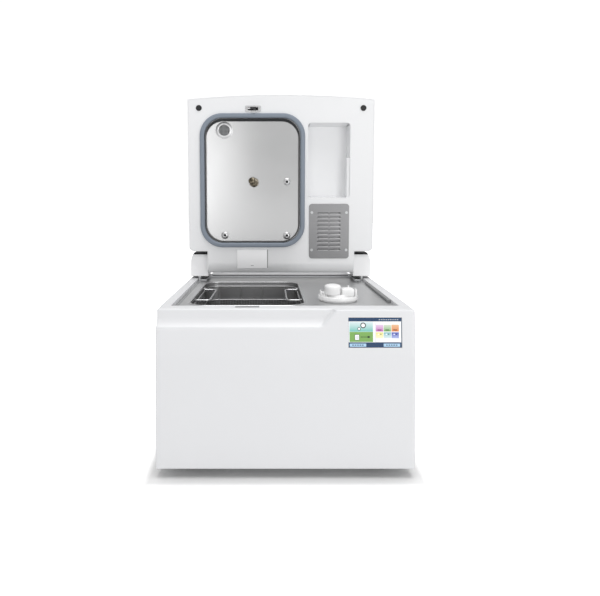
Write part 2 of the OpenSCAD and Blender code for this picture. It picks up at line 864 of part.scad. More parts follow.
module nozzle_pipe() {
    z = dish_z + 24;
    color("lightsteelblue") lid_pose() difference() {
        union() {
            rod_z(dish_z + 1.5, dish_z + 11, nozzle_x, nozzle_y, 24);
            rod_z(dish_z + 11, z, nozzle_x, nozzle_y, 14);
            translate([nozzle_x, nozzle_y, z]) sphere(d = 14);
            rod_y(nozzle_y, 165, nozzle_x, z, 14);
        }
        rod_z(dish_z, z, nozzle_x, nozzle_y, 9);
        rod_y(nozzle_y, 166, nozzle_x, z, 9);
    }
}

function lid_port_places() = [[15.5, -28], [-146.5, 112], [15.4, 113]];

module lid_ports() {
    color("silver") lid_pose() for (p = lid_port_places()) difference() {
        union() {
            rod_z(dish_z - 3, dish_z, p[0], p[1], 20);
            rod_z(dish_z - 6, dish_z - 3, p[0], p[1], 12);
            rod_z(dish_z, dish_z + 10, p[0], p[1], 10);
        }
        rod_z(dish_z - 7, dish_z + 8, p[0], p[1], 6);
    }
}

module filter_port() {
    color("silver") lid_pose() translate([-147, -161, 0]) {
        difference() {
            rod_z(dish_z - 4, dish_z, 0, 0, 44);
            rod_z(dish_z - 5, dish_z + 1, 0, 0, 30);
        }
        difference() {
            rod_z(dish_z - 2, dish_z + 6, 0, 0, 30);
            for (x = [-9:6:9], y = [-9:6:9]) rod_z(dish_z - 3, dish_z + 7, x, y, 3);
        }
    }
}

module vent_grille() {
    pitch = 10.5;
    color("darkgray") lid_pose() difference() {
        slab(vent_x - 52, vent_y - 71.5, vent_x + 52, vent_y + 71.5, 8, lid_z0 - 1.5, lid_z0);
        for (i = [0:9], s = [-1, 1]) {
            y = vent_y - 47 + pitch * i;
            x = vent_x + 15.5 * s;
            slab(x - 14.5, y - 2, x + 14.5, y + 2, 1.8, lid_z0 - 3, lid_z0 + 1);
        }
    }
}

module vent_screws() {
    color("silver") lid_pose() for (x = [-45, 45], y = [-49, 49])
        translate([vent_x + x, vent_y + y, lid_z0 - 3]) difference() {
            cylinder(d = 7, h = 1.5);
            translate([0, 0, -0.5]) cylinder(d = 3, h = 1.5, $fn = 6);
        }
}

module dryer_duct() {
    z1 = lid_z0 + lid_wall;
    color("gainsboro") lid_pose() difference() {
        block([87, 38, z1], [163, 160, z1 + 30]);
        block([90, 41, z1 - 1], [160, 157, z1 + 27]);
        rod_x(80, 91, 100, z1 + 15, 20);
    }
}

module lid_bumpers() {
    color("black") lid_pose() for (x = [-211, 211]) rod_z(lid_z0 - 1.6, lid_z0, x, front_y + 33, 15);
}

module latch_plate() {
    color("silver") lid_pose() difference() {
        slab(latch_x - 20.5, latch_y - 8, latch_x + 20.5, latch_y + 8, 3, lid_z0 - 1.2, lid_z0);
        block([latch_x - 13, latch_y - 4, lid_z0 - 3], [latch_x + 13, latch_y + 4, lid_z0 + 1]);
        for (s = [-1, 1]) rod_z(lid_z0 - 3, lid_z0 + 1, latch_x + 17 * s, latch_y, 3);
    }
}

module latch_hook() {
    color("black") lid_pose() along_y(latch_y - 3, latch_y + 3) difference() {
        union() {
            translate([hook_x, hook_z + 6]) circle(r = 7);
            translate([hook_x - 3, lid_z0 - 12]) square([7, hook_z - lid_z0 + 18]);
            translate([hook_x - 11, lid_z0 - 15]) square([15, 4]);
        }
        translate([hook_x, hook_z + 6]) circle(r = 2.5);
    }
}

// ---- Basket ----

// Thin tray with the outline of the wire basket: round corners, feet and the eyes of the bails
module basket() {
    color("silver") {
        difference() {
            slab(bk_x0, bk_y0, bk_x1, bk_y1, bk_r, bk_z0, bk_z1);
            slab(bk_x0 + bk_t, bk_y0 + bk_t, bk_x1 - bk_t, bk_y1 - bk_t, bk_r - bk_t, bk_z0 + bk_t, bk_z1 + 1);
        }
        for (x = [bk_x0 + 32, bk_x1 - 32], y = [bk_y0 + 40, bk_y1 - 40])
            rod_z(chamber_floor + 0.3, bk_z0 + 1, x, y, 8);
        for (x = [bk_x0 + 1, bk_x1 - 1], s = [-1, 1]) bail_eye(x, chamber_y + s * (bail_half + 5.5));
    }
}

// Eye on the basket rim that a bail turns in
module bail_eye(x, y) {
    difference() {
        block([x - 3.5, y - 2.5, bk_z1], [x + 3.5, y + 2.5, bail_z + 3.5]);
        rod_y(y - 3, y + 3, x, bail_z, bail_d + 2 * run_fit);
    }
}

// Wire bail that folds down flat over the basket; hinged on the side wall, reaching along +X
module basket_handle() {
    r = 10;
    z = bail_z;
    x0 = bk_x0 + 1;
    x1 = x0 + bail_reach;
    color("silver") {
        for (s = [-1, 1]) {
            rod_x(x0, x1 - r, chamber_y + s * bail_half, z, bail_d);
            translate([0, chamber_y + s * (bail_half + 3), 0]) rod_y(-5, 5, x0, z, bail_d);
            translate([x1 - r, chamber_y + s * (bail_half - r), z]) rotate([0, 0, s > 0 ? 0 : 270])
                rotate_extrude(angle = 90) translate([r, 0]) circle(d = bail_d);
        }
        rod_y(chamber_y - bail_half + r, chamber_y + bail_half - r, x1, z, bail_d);
    }
}

module basket_handle_left() {
    basket_handle();
}

module basket_handle_right() {
    translate([2 * chamber_x, 0, 0]) mirror([1, 0, 0]) basket_handle();
}

base_tray();
front_cover();
side_cover_left();
side_cover_right();
rear_cover();
top_frame();
steel_deck();
chassis_frame();
feet();
cover_screws();
chamber();
drain_strainer();
drain_elbow();
heater_element();
ultrasonic_transducers();
wash_pump();
pump_impeller();
drain_pump();
inlet_valve();
dosing_pump();
softener_tank();
softener_neck();
screw_cap();
cap_seal();
power_supply();
control_board();
display_glass();
display_module();
fan_housing();
fan_rotor();
mains_inlet();
power_rocker();
water_inlet();
drain_outlet();
hinge_bracket_left();
hinge_bracket_right();
hinge_cover_left();
hinge_cover_right();
hinge_bushes();
hinge_shaft();
torsion_springs();
lock_housing();
lock_bolt();
lid_shell();
lid_panel();
lid_plate();
lid_gasket();
spray_nozzle();
nozzle_pipe();
lid_ports();
filter_port();
vent_grille();
vent_screws();
dryer_duct();
lid_bumpers();
latch_plate();
latch_hook();
basket();
basket_handle_left();
basket_handle_right();
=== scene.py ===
"""Looks of a benchtop washer-disinfector with a lid that stands open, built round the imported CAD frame.

Everything is in metres in the CAD frame: +X to the right, +Y to the back, +Z up. Pieces of the lid are
drawn with the lid closed and then turned open about its hinge, as the lid stands at rest.
"""
import json
import math

import bmesh
import bpy
from mathutils import Matrix, Vector


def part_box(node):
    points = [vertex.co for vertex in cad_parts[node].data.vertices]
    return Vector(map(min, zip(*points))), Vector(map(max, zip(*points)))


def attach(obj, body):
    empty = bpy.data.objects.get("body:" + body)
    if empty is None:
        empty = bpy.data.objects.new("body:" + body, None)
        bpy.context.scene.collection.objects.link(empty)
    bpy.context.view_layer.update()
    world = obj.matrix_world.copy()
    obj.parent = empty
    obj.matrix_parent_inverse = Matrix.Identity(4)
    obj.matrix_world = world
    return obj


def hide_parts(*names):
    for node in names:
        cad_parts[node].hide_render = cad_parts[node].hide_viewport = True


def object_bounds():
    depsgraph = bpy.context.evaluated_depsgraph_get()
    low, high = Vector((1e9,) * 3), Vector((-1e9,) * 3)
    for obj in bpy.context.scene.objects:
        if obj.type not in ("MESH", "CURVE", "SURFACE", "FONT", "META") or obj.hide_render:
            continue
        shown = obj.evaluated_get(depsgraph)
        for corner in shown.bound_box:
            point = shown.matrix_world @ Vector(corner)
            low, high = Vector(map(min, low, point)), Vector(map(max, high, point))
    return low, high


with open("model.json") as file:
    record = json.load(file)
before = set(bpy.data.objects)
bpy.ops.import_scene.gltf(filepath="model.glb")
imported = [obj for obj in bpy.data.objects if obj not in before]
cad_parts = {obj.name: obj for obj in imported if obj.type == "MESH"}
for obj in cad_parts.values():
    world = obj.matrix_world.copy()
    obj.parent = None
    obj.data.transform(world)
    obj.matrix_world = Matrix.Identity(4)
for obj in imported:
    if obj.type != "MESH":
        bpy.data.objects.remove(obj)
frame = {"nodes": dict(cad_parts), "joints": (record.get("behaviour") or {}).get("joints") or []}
cad_low, cad_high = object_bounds()

MM = 0.001
NODES = frame["nodes"]


# ---- Places taken from the frame ----

def joint(name):
    """The record's joint of that name."""
    return next(j for j in frame["joints"] if j["name"] == name)


HINGE = Vector(joint("lid_hinge")["pos_m"])
OPEN_ANGLE = math.radians(-min(joint("lid_hinge")["range_deg"]))
LID = Matrix.Translation(HINGE) @ Matrix.Rotation(-OPEN_ANGLE, 4, "X") @ Matrix.Translation(-HINGE)
CLOSED = LID.inverted()

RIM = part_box("top_frame")[1].z - 4 * MM
FRONT = cad_low.y
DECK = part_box("steel_deck")[1].z
LID_FACE = RIM + 2 * MM
DISH = LID_FACE + 8 * MM
CREASE = RIM - 86 * MM
SCREEN_LEAN = math.atan2(4, 80)
ROOM_LIGHT = 0.6


def closed_box(node):
    """Lowest and highest corners of a lid node with the lid closed."""
    points = [CLOSED @ v.co for v in NODES[node].data.vertices]
    low = Vector(min(p[i] for p in points) for i in range(3))
    high = Vector(max(p[i] for p in points) for i in range(3))
    return low, high


# ---- Camera, light and floor ----

def make_camera():
    """Level camera a little left of the middle, looked at through a shifted lens."""
    data = bpy.data.cameras.new("camera")
    data.sensor_width = 36
    data.lens = 29.376
    data.shift_x = 0.05
    data.shift_y = -0.1517
    data.clip_start = 0.05
    camera = bpy.data.objects.new("camera", data)
    camera.location = (-0.0285, FRONT - 0.9, RIM + 0.19)
    camera.rotation_euler = (math.radians(90), 0, 0)
    bpy.context.collection.objects.link(camera)
    bpy.context.scene.camera = camera


def area_light(name, place, target, size, power, colour=(1, 1, 1)):
    """Square soft box that faces its target."""
    data = bpy.data.lights.new(name, "AREA")
    data.shape = "SQUARE"
    data.size = size
    data.energy = power
    data.color = colour
    lamp = bpy.data.objects.new(name, data)
    lamp.location = place
    aim = Vector(target) - Vector(place)
    lamp.rotation_euler = aim.to_track_quat("-Z", "Y").to_euler()
    bpy.context.collection.objects.link(lamp)


def make_studio():
    """White surroundings, soft boxes above and to the right, and a pale floor."""
    scene = bpy.context.scene
    scene.view_settings.view_transform = "Standard"
    world = bpy.data.worlds.new("studio")
    world.use_nodes = True
    tree = world.node_tree
    background = tree.nodes["Background"]
    background.inputs["Color"].default_value = (1.0, 1.0, 1.0, 1)
    path = tree.nodes.new("ShaderNodeLightPath")
    wire(tree, spread(tree, path.outputs["Is Camera Ray"], ROOM_LIGHT, 1.05), background.inputs["Strength"])
    scene.world = world
    area_light("top", (0.3, -0.5, 3.2), (0, -0.2, 0), 2.6, 60)
    area_light("key", (1.6, -2.9, 0.6), (0, 0, 0.4), 1.2, 20)
    area_light("card", (-1.04, -3.2, 0.42), (0, 0, 0.45), 1.2, 7.6)

    bm = bmesh.new()
    bmesh.ops.create_grid(bm, x_segments=8, y_segments=8, size=14)
    mesh = bpy.data.meshes.new("floor")
    bm.to_mesh(mesh)
    bm.free()
    mesh.materials.append(floor_material())
    floor = bpy.data.objects.new("floor", mesh)
    bpy.context.collection.objects.link(floor)


# ---- Shader groups ----

def new_group(name, inputs, outputs):
    """Empty shader group with its sockets, and its two end nodes."""
    group = bpy.data.node_groups.new(name, "ShaderNodeTree")
    for title, kind, value in inputs:
        socket = group.interface.new_socket(title, in_out="INPUT", socket_type=kind)
        if value is not None:
            socket.default_value = value
    for title, kind in outputs:
        group.interface.new_socket(title, in_out="OUTPUT", socket_type=kind)
    return group, group.nodes.new("NodeGroupInput"), group.nodes.new("NodeGroupOutput")


def wire(tree, source, target):
    """Joins two sockets."""
    tree.links.new(source, target)


def math_node(tree, kind, a, b=None, clamp=False):
    """Math node on sockets or numbers; returns its result."""
    node = tree.nodes.new("ShaderNodeMath")
    node.operation = kind
    node.use_clamp = clamp
    for index, value in enumerate((a, b)):
        if value is None:
            continue
        if isinstance(value, (int, float)):
            node.inputs[index].default_value = value
        else:
            wire(tree, value, node.inputs[index])
    return node.outputs[0]


def noise_node(tree, vector, scale, detail=4.0, rough=0.5):
    """Noise on a vector; returns its value."""
    node = tree.nodes.new("ShaderNodeTexNoise")
    node.inputs["Detail"].default_value = detail
    node.inputs["Roughness"].default_value = rough
    wire(tree, vector, node.inputs["Vector"])
    if isinstance(scale, (int, float)):
        node.inputs["Scale"].default_value = scale
    else:
        wire(tree, scale, node.inputs["Scale"])
    return node.outputs["Fac"]


def scaled(tree, vector, factors):
    """Vector stretched along each axis."""
    node = tree.nodes.new("ShaderNodeVectorMath")
    node.operation = "MULTIPLY"
    wire(tree, vector, node.inputs[0])
    node.inputs[1].default_value = factors
    return node.outputs[0]


def tint(tree, colour, amount, factor):
    """Colour made lighter or darker by up to amount, as factor runs from 0 to 1."""
    node = tree.nodes.new("ShaderNodeMix")
    node.data_type = "RGBA"
    node.inputs[6].default_value = tuple(c * (1 - amount) for c in colour) + (1,)
    node.inputs[7].default_value = tuple(min(1, c * (1 + amount)) for c in colour) + (1,)
    wire(tree, factor, node.inputs[0])
    return node.outputs[2]


def moulding_group():
    """Moulded or painted skin: fine texture, faint cloudiness and handling marks."""
    group, given, made = new_group(
        "skin", [("Vector", "NodeSocketVector", None), ("Grain", "NodeSocketFloat", 900.0)],
        [("Cloud", "NodeSocketFloat"), ("Marks", "NodeSocketFloat"), ("Height", "NodeSocketFloat")])
    cloud = noise_node(group, given.outputs["Vector"], 6.0, 3.0)
    marks = noise_node(group, scaled(group, given.outputs["Vector"], (1, 1.6, 0.7)), 38.0, 6.0, 0.62)
    grain = noise_node(group, given.outputs["Vector"], given.outputs["Grain"], 2.0)
    wire(group, cloud, made.inputs["Cloud"])
    wire(group, marks, made.inputs["Marks"])
    wire(group, grain, made.inputs["Height"])
    return group


def brushed_group():
    """Brushed sheet: long fine scratches along one axis of the vector, and soft smears."""
    group, given, made = new_group(
        "brushed", [("Vector", "NodeSocketVector", None)],
        [("Streak", "NodeSocketFloat"), ("Smear", "NodeSocketFloat"), ("Height", "NodeSocketFloat")])
    long_lines = noise_node(group, scaled(group, given.outputs["Vector"], (6, 420, 420)), 1.0, 3.0, 0.65)
    fine_lines = noise_node(group, scaled(group, given.outputs["Vector"], (22, 1900, 1900)), 1.0, 2.0, 0.6)
    smear = noise_node(group, scaled(group, given.outputs["Vector"], (7, 9, 9)), 1.0, 4.0, 0.55)
    both = math_node(group, "ADD", math_node(group, "MULTIPLY", long_lines, 0.5),
                     math_node(group, "MULTIPLY", fine_lines, 0.5))
    wire(group, both, made.inputs["Streak"])
    wire(group, smear, made.inputs["Smear"])
    wire(group, both, made.inputs["Height"])
    return group


GROUPS = {}


def use_group(tree, name, maker):
    """Places the shared group in a material, building it the first time."""
    if name not in GROUPS:
        GROUPS[name] = maker()
    node = tree.nodes.new("ShaderNodeGroup")
    node.node_tree = GROUPS[name]
    return node


def start_material(name):
    """Material with its tree, its Principled shader and Object coordinates."""
    material = bpy.data.materials.new(name)
    material.use_nodes = True
    tree = material.node_tree
    coords = tree.nodes.new("ShaderNodeTexCoord")
    return material, tree, tree.nodes["Principled BSDF"], coords.outputs["Object"]


def turned(tree, vector, rotation):
    """Vector turned by a Mapping node."""
    node = tree.nodes.new("ShaderNodeMapping")
    node.inputs["Rotation"].default_value = rotation
    wire(tree, vector, node.inputs["Vector"])
    return node.outputs[0]


def add_bump(tree, shader, height, strength, distance):
    """Bump on the shader's normal."""
    node = tree.nodes.new("ShaderNodeBump")
    node.inputs["Strength"].default_value = strength
    node.inputs["Distance"].default_value = distance
    wire(tree, height, node.inputs["Height"])
    wire(tree, node.outputs["Normal"], shader.inputs["Normal"])


def spread(tree, factor, low, high):
    """Factor from 0..1 carried to low..high."""
    node = tree.nodes.new("ShaderNodeMapRange")
    node.inputs["To Min"].default_value = low
    node.inputs["To Max"].default_value = high
    wire(tree, factor, node.inputs["Value"])
    return node.outputs["Result"]


def plastic(name, colour, rough=0.42, grain=900.0, depth=0.03, cloud=0.012, coat=0.0, specular=0.5):
    """Moulded plastic, rubber or paint with a fine skin."""
    material, tree, shader, where = start_material(name)
    skin = use_group(tree, "skin", moulding_group)
    wire(tree, where, skin.inputs["Vector"])
    skin.inputs["Grain"].default_value = grain
    wire(tree, tint(tree, colour, cloud, skin.outputs["Cloud"]), shader.inputs["Base Color"])
    wire(tree, spread(tree, skin.outputs["Marks"], rough - 0.06, rough + 0.06), shader.inputs["Roughness"])
    add_bump(tree, shader, skin.outputs["Height"], depth, 0.0004)
    shader.inputs["Coat Weight"].default_value = coat
    shader.inputs["Coat Roughness"].default_value = 0.12
    shader.inputs["Specular IOR Level"].default_value = specular
    return material


def steel(name, colour, rough=0.3, rotation=(0, 0, 0), streak=0.06, depth=0.05, metallic=1.0):
    """Brushed or polished metal; the scratches run along X of the turned coordinates."""
    material, tree, shader, where = start_material(name)
    lines = use_group(tree, "brushed", brushed_group)
    wire(tree, turned(tree, where, rotation), lines.inputs["Vector"])
    wire(tree, tint(tree, colour, streak, lines.outputs["Streak"]), shader.inputs["Base Color"])
    wire(tree, spread(tree, lines.outputs["Smear"], rough - 0.05, rough + 0.07), shader.inputs["Roughness"])
    add_bump(tree, shader, lines.outputs["Height"], depth, 0.0003)
    shader.inputs["Metallic"].default_value = metallic
    return material


def floor_material():
    """Pale satin floor that shows a faint reflection."""
    material, tree, shader, where = start_material("floor")
    skin = use_group(tree, "skin", moulding_group)
    wire(tree, where, skin.inputs["Vector"])
    wire(tree, tint(tree, (0.93, 0.93, 0.93), 0.006, skin.outputs["Cloud"]), shader.inputs["Base Color"])
    wire(tree, spread(tree, skin.outputs["Marks"], 0.3, 0.36), shader.inputs["Roughness"])
    place = tree.nodes.new("ShaderNodeSeparateXYZ")
    wire(tree, where, place.inputs["Vector"])
    beyond_x = math_node(tree, "SUBTRACT", math_node(tree, "ABSOLUTE", place.outputs["X"]), cad_high.x)
    beyond_y = math_node(tree, "SUBTRACT", math_node(tree, "ABSOLUTE", place.outputs["Y"]), cad_high.y)
    beyond = math_node(tree, "MAXIMUM", beyond_x, beyond_y)
    away = tree.nodes.new("ShaderNodeMapRange")
    away.interpolation_type = "SMOOTHSTEP"
    away.inputs["From Min"].default_value = 8 * MM
    away.inputs["From Max"].default_value = 46 * MM
    wire(tree, beyond, away.inputs["Value"])
    path = tree.nodes.new("ShaderNodeLightPath")
    seen = math_node(tree, "MULTIPLY", away.outputs["Result"], path.outputs["Is Camera Ray"])
    shader.inputs["Emission Color"].default_value = (1, 1, 1, 1)
    wire(tree, seen, shader.inputs["Emission Strength"])
    return material


def picture_material():
    """Lit display: the tiles' own colours, shown bright under a glossy face."""
    material, tree, shader, where = start_material("picture")
    inks = tree.nodes.new("ShaderNodeAttribute")
    inks.attribute_name = "ink"
    wire(tree, inks.outputs["Color"], shader.inputs["Base Color"])
    wire(tree, inks.outputs["Color"], shader.inputs["Emission Color"])
    shader.inputs["Emission Strength"].default_value = 0.06
    shader.inputs["Roughness"].default_value = 0.15
    return material


def make_materials():
    """One material for each finish of the object."""
    across = (0, 0, 0)
    along = (0, math.radians(90), 0)
    return {
        "front_white": plastic("front_white", (0.73, 0.735, 0.75), 0.38, coat=0.1),
        "lid_white": plastic("lid_white", (0.83, 0.835, 0.845), 0.42),
        "sheet_white": plastic("sheet_white", (0.78, 0.785, 0.79), 0.48, grain=1500, depth=0.08),
        # A lighter copy of the lid white: painted light on the hinge covers, the hose cover and the bar
        # behind the deck, which sit in shade.
        "shade_lifted_white": plastic("shade_lifted_white", (0.92, 0.922, 0.93), 0.42),
        "cap_white": plastic("cap_white", (0.90, 0.90, 0.90), 0.28, coat=0.3),
        "deck_steel": steel("deck_steel", (0.60, 0.603, 0.606), 0.32, across, 0.07),
        "dish_steel": steel("dish_steel", (0.62, 0.622, 0.625), 0.24, along, 0.015, 0.02),
        # Darker steel for the chamber: painted shade inside the tub.
        "chamber_shade_steel": steel("chamber_shade_steel", (0.42, 0.42, 0.425), 0.38, across, 0.10),
        "vent_steel": steel("vent_steel", (0.28, 0.28, 0.285), 0.38, across, 0.10),
        # Lighter copy of the grille steel: painted light on the lips of the vent slots.
        "vent_lip_highlight": steel("vent_lip_highlight", (0.55, 0.55, 0.555), 0.36, across, 0.06),
        "vent_back": steel("vent_back", (0.20, 0.20, 0.205), 0.5, across, 0.08),
        # Near-black material that paints the shade on the inner wall of the gasket.
        "gasket_shade_dark": plastic("gasket_shade_dark", (0.022, 0.024, 0.027), 0.5, cloud=0.05),
        "satin_steel": steel("satin_steel", (0.72, 0.72, 0.725), 0.42, across, 0.03),
        # Darker copy of the deck steel: painted shade along the pressed ridge.
        "bead_shade_steel": steel("bead_shade_steel", (0.42, 0.42, 0.425), 0.34, across, 0.07),
        "mesh_steel": steel("mesh_steel", (0.52, 0.52, 0.525), 0.3, across, 0.05),
        "wire_steel": steel("wire_steel", (0.62, 0.625, 0.63), 0.2, across, 0.03),
        "zinc": steel("zinc", (0.55, 0.56, 0.57), 0.42, across, 0.08),
        "dark_steel": steel("dark_steel", (0.2, 0.2, 0.205), 0.4, across, 0.08),
        "silicone": plastic("silicone", (0.215, 0.25, 0.30), 0.5, grain=700, cloud=0.05),
        "rubber": plastic("rubber", (0.008, 0.008, 0.009), 0.5, grain=600, depth=0.1, cloud=0.1),
        "black_plastic": plastic("black_plastic", (0.02, 0.02, 0.022), 0.42, grain=1100, cloud=0.08),
        "grey_plastic": plastic("grey_plastic", (0.14, 0.145, 0.15), 0.45, cloud=0.04),
        "brass": steel("brass", (0.22, 0.19, 0.14), 0.30, across, 0.08),
        "bronze": steel("bronze", (0.40, 0.24, 0.12), 0.4, across, 0.06),
        "motor_paint": plastic("motor_paint", (0.015, 0.025, 0.03), 0.35, cloud=0.06),
        "tank_plastic": plastic("tank_plastic", (0.60, 0.66, 0.64), 0.4, cloud=0.03),
        "board_green": plastic("board_green", (0.01, 0.07, 0.03), 0.35, cloud=0.1),
        "acetal": plastic("acetal", (0.72, 0.68, 0.56), 0.38, cloud=0.03),
        # Dark grey for painted shade: the strip beside the hose cover and the strip on the inner wall of the
        # right rim.
        "shade_grey": plastic("shade_grey", (0.24, 0.243, 0.247), 0.55, cloud=0.05),
        "picture": picture_material(),
        "glass_black": plastic("glass_black", (0.012, 0.016, 0.03), 0.08, cloud=0.1, coat=1.0, depth=0.0),
    }


# ---- Mesh helpers ----

def settle(name, bm, body, slot, *materials, replaces=(), lid=False, sharp=35, flat=False):
    """Makes a finished piece of a bmesh, which rides on a body and stands for CAD nodes."""
    if lid:
        bmesh.ops.transform(bm, matrix=LID, verts=bm.verts)
    mesh = bpy.data.meshes.new(name)
    bm.normal_update()
    bm.to_mesh(mesh)
    bm.free()
    for material in materials:
        mesh.materials.append(material)
    mesh.polygons.foreach_set("use_smooth", [True] * len(mesh.polygons))
    mesh.set_sharp_from_angle(angle=math.radians(sharp))
    piece = bpy.data.objects.new(name, mesh)
    bpy.context.collection.objects.link(piece)
    if flat:
        flatten = piece.modifiers.new("flat_faces", "WEIGHTED_NORMAL")
        flatten.keep_sharp = True
        flatten.weight = 100
    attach(piece, body)
    if replaces:
        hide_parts(*replaces)
    return piece


def node_copy(node, lid=False):
    """Merged copy of a CAD node's mesh, in closed coordinates if it is part of the lid."""
    bm = bmesh.new()
    bm.from_mesh(NODES[node].data)
    bmesh.ops.remove_doubles(bm, verts=bm.verts, dist=0.002 * MM)
    flat = math.radians(0.5)
    bmesh.ops.dissolve_limit(bm, angle_limit=flat, verts=bm.verts, edges=bm.edges)
    if lid:
        bmesh.ops.transform(bm, matrix=CLOSED, verts=bm.verts)
    return bm


def soften(bm, width, segments=2, angle=30, test=None):
    """Rounds the sharp edges of a bmesh, or those of them that pass a test."""
    bm.normal_update()
    edges = [e for e in bm.edges
             if e.is_manifold and e.calc_face_angle(0) > math.radians(angle) and (test is None or test(e))]
    bmesh.ops.bevel(bm, geom=edges, offset=width, offset_type="OFFSET", affect="EDGES", segments=segments,
                    profile=0.5, material=-1, clamp_overlap=True)


def rounded_node(node, body, slot, material, width, segments=2, lid=False, angle=30):
    """CAD node shown with its edges rounded."""
    bm = node_copy(node, lid)
    soften(bm, width, segments, angle)
    return settle(node + "_shown", bm, body, slot, material, replaces=(node,), lid=lid, flat=True)


# ---- Shapes ----

def stations(knots, counts):
    """Values from the first knot to the last, with even steps between neighbours."""
    values = [knots[0]]
    for start, end, steps in zip(knots, knots[1:], counts):
        values += [start + (end - start) * k / steps for k in range(1, steps + 1)]
    return values


def ease(t):
    """Smooth step from 0 to 1."""
    t = min(1.0, max(0.0, t))
    return t * t * (3 - 2 * t)


def add_box(bm, low, high, bevel=0.0, segments=2):
    """Box between two corners with rounded edges; returns its vertices."""
    low, high = Vector(low), Vector(high)
    made = bmesh.ops.create_cube(bm, size=1)["verts"]
    size = Matrix.Diagonal(((high - low).x, (high - low).y, (high - low).z, 1))
    bmesh.ops.transform(bm, matrix=Matrix.Translation((low + high) / 2) @ size, verts=made)
    if bevel:
        edges = list({e for v in made for e in v.link_edges})
        made = bmesh.ops.bevel(bm, geom=edges, offset=bevel, offset_type="OFFSET", affect="EDGES",
                               segments=segments, profile=0.5, material=-1)["verts"]
    return made


def add_cylinder(bm, centre, radius, low, high, sides=48, top=None, matrix=None):
    """Upright cylinder or cone round a centre in X and Y; returns its vertices."""
    made = bmesh.ops.create_cone(bm, cap_ends=True, segments=sides, radius1=radius,
                                 radius2=radius if top is None else top, depth=high - low)["verts"]
    place = Matrix.Translation((centre[0], centre[1], (low + high) / 2))
    bmesh.ops.transform(bm, matrix=(matrix or Matrix()) @ place, verts=made)
    return made


def lathe(bm, outline, centre, steps=48, matrix=None):
    """Turned form: an outline of (radius, height) points spun round an upright axis."""
    verts = [bm.verts.new((r, 0, z)) for r, z in outline]
    edges = [bm.edges.new(pair) for pair in zip(verts, verts[1:])]
    before = set(bm.verts) - set(verts)
    bmesh.ops.spin(bm, geom=verts + edges, cent=(0, 0, 0), axis=(0, 0, 1), angle=math.tau, steps=steps,
                   use_merge=True, use_duplicate=False)
    made = [v for v in bm.verts if v not in before]
    bmesh.ops.remove_doubles(bm, verts=made, dist=0.001 * MM)
    made = [v for v in bm.verts if v not in before]
    place = (matrix or Matrix()) @ Matrix.Translation((centre[0], centre[1], 0))
    bmesh.ops.transform(bm, matrix=place, verts=made)
    bmesh.ops.recalc_face_normals(bm, faces=list({f for v in made for f in v.link_faces}))
    return made


def profile(base, *points):
    """Outline for lathe from radii and heights over a base, both given in millimetres."""
    return [(radius * MM, base + height * MM) for radius, height in points]


def round_corners(low, high, radius, steps=8):
    """Points round a rectangle with round corners, in X and Y."""
    points = []
    for cx, cy, start in ((high[0], high[1], 0), (low[0], high[1], 90), (low[0], low[1], 180),
                          (high[0], low[1], 270)):
        cx += -radius if cx == high[0] else radius
        cy += -radius if cy == high[1] else radius
        for k in range(steps + 1):
            angle = math.radians(start + 90 * k / steps)
            points.append((cx + radius * math.cos(angle), cy + radius * math.sin(angle)))
    return points


def add_wire(bm, points, radius, closed=False, sides=8):
    """Round wire along points, made from a bevelled curve."""
    data = bpy.data.curves.new("wire", "CURVE")
    data.dimensions = "3D"
    data.bevel_depth = radius
    data.bevel_resolution = max(0, sides // 2 - 2)
    data.use_fill_caps = not closed
    spline = data.splines.new("POLY")
    spline.points.add(len(points) - 1)
    for target, point in zip(spline.points, points):
        target.co = (*point, 1)
    spline.use_cyclic_u = closed
    holder = bpy.data.objects.new("wire", data)
    mesh = bpy.data.meshes.new_from_object(holder)
    bm.from_mesh(mesh)
    bpy.data.objects.remove(holder)
    bpy.data.curves.remove(data)
    bpy.data.meshes.remove(mesh)


# ---- Front cover ----

EDGE = 3 * MM
LIP = 2 * MM
FRONT_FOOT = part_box("front_cover")[0].z


def front_depth(z):
    """How far the front face stands behind the crease at a height: it leans back above and below."""
    over = (z - CREASE) / MM
    slope = 4 / 80 if over > 0 else 4 / 208
    return slope * (math.hypot(over, 3) - 3) * MM


def scoop_depth(x, z):
    """How far the finger scoop presses the front face in."""
    below = (z - RIM) / MM
    edge = 65 + (below + 33) * 28 / 33
    across = ease((edge + 4 - x / MM) / 7)
    rise = min(1, max(0, (below + 32.4) / 17))
    return across * rise * (2 - rise) * max(0, 13.5 * MM - front_depth(z))


def front_rows():
    """Side view of the cover from its bottom edge, over the rim, to the lip at the deck."""
    base = FRONT_FOOT
    rows = [("front", z * MM + base) for z in (0, 1.2)]
    knots = [base + 3 * MM, CREASE - 9 * MM, CREASE + 8 * MM, CREASE + 17 * MM, RIM - 32.4 * MM,
             RIM - 14 * MM, RIM - EDGE]
    rows += [("front", z) for z in stations(knots, [14, 8, 2, 6, 12, 6])]
    rows += [("round", 15 * k) for k in range(1, 6)]
    knots = [FRONT + 10 * MM, FRONT + 26 * MM, FRONT + 40 * MM, FRONT + 43 * MM]
    rows += [("top", y) for y in stations(knots, [7, 3, 1])]
    rows += [("lip", 30), ("lip", 60), ("lip", 90), ("down", RIM - 7.4 * MM)]
    return rows


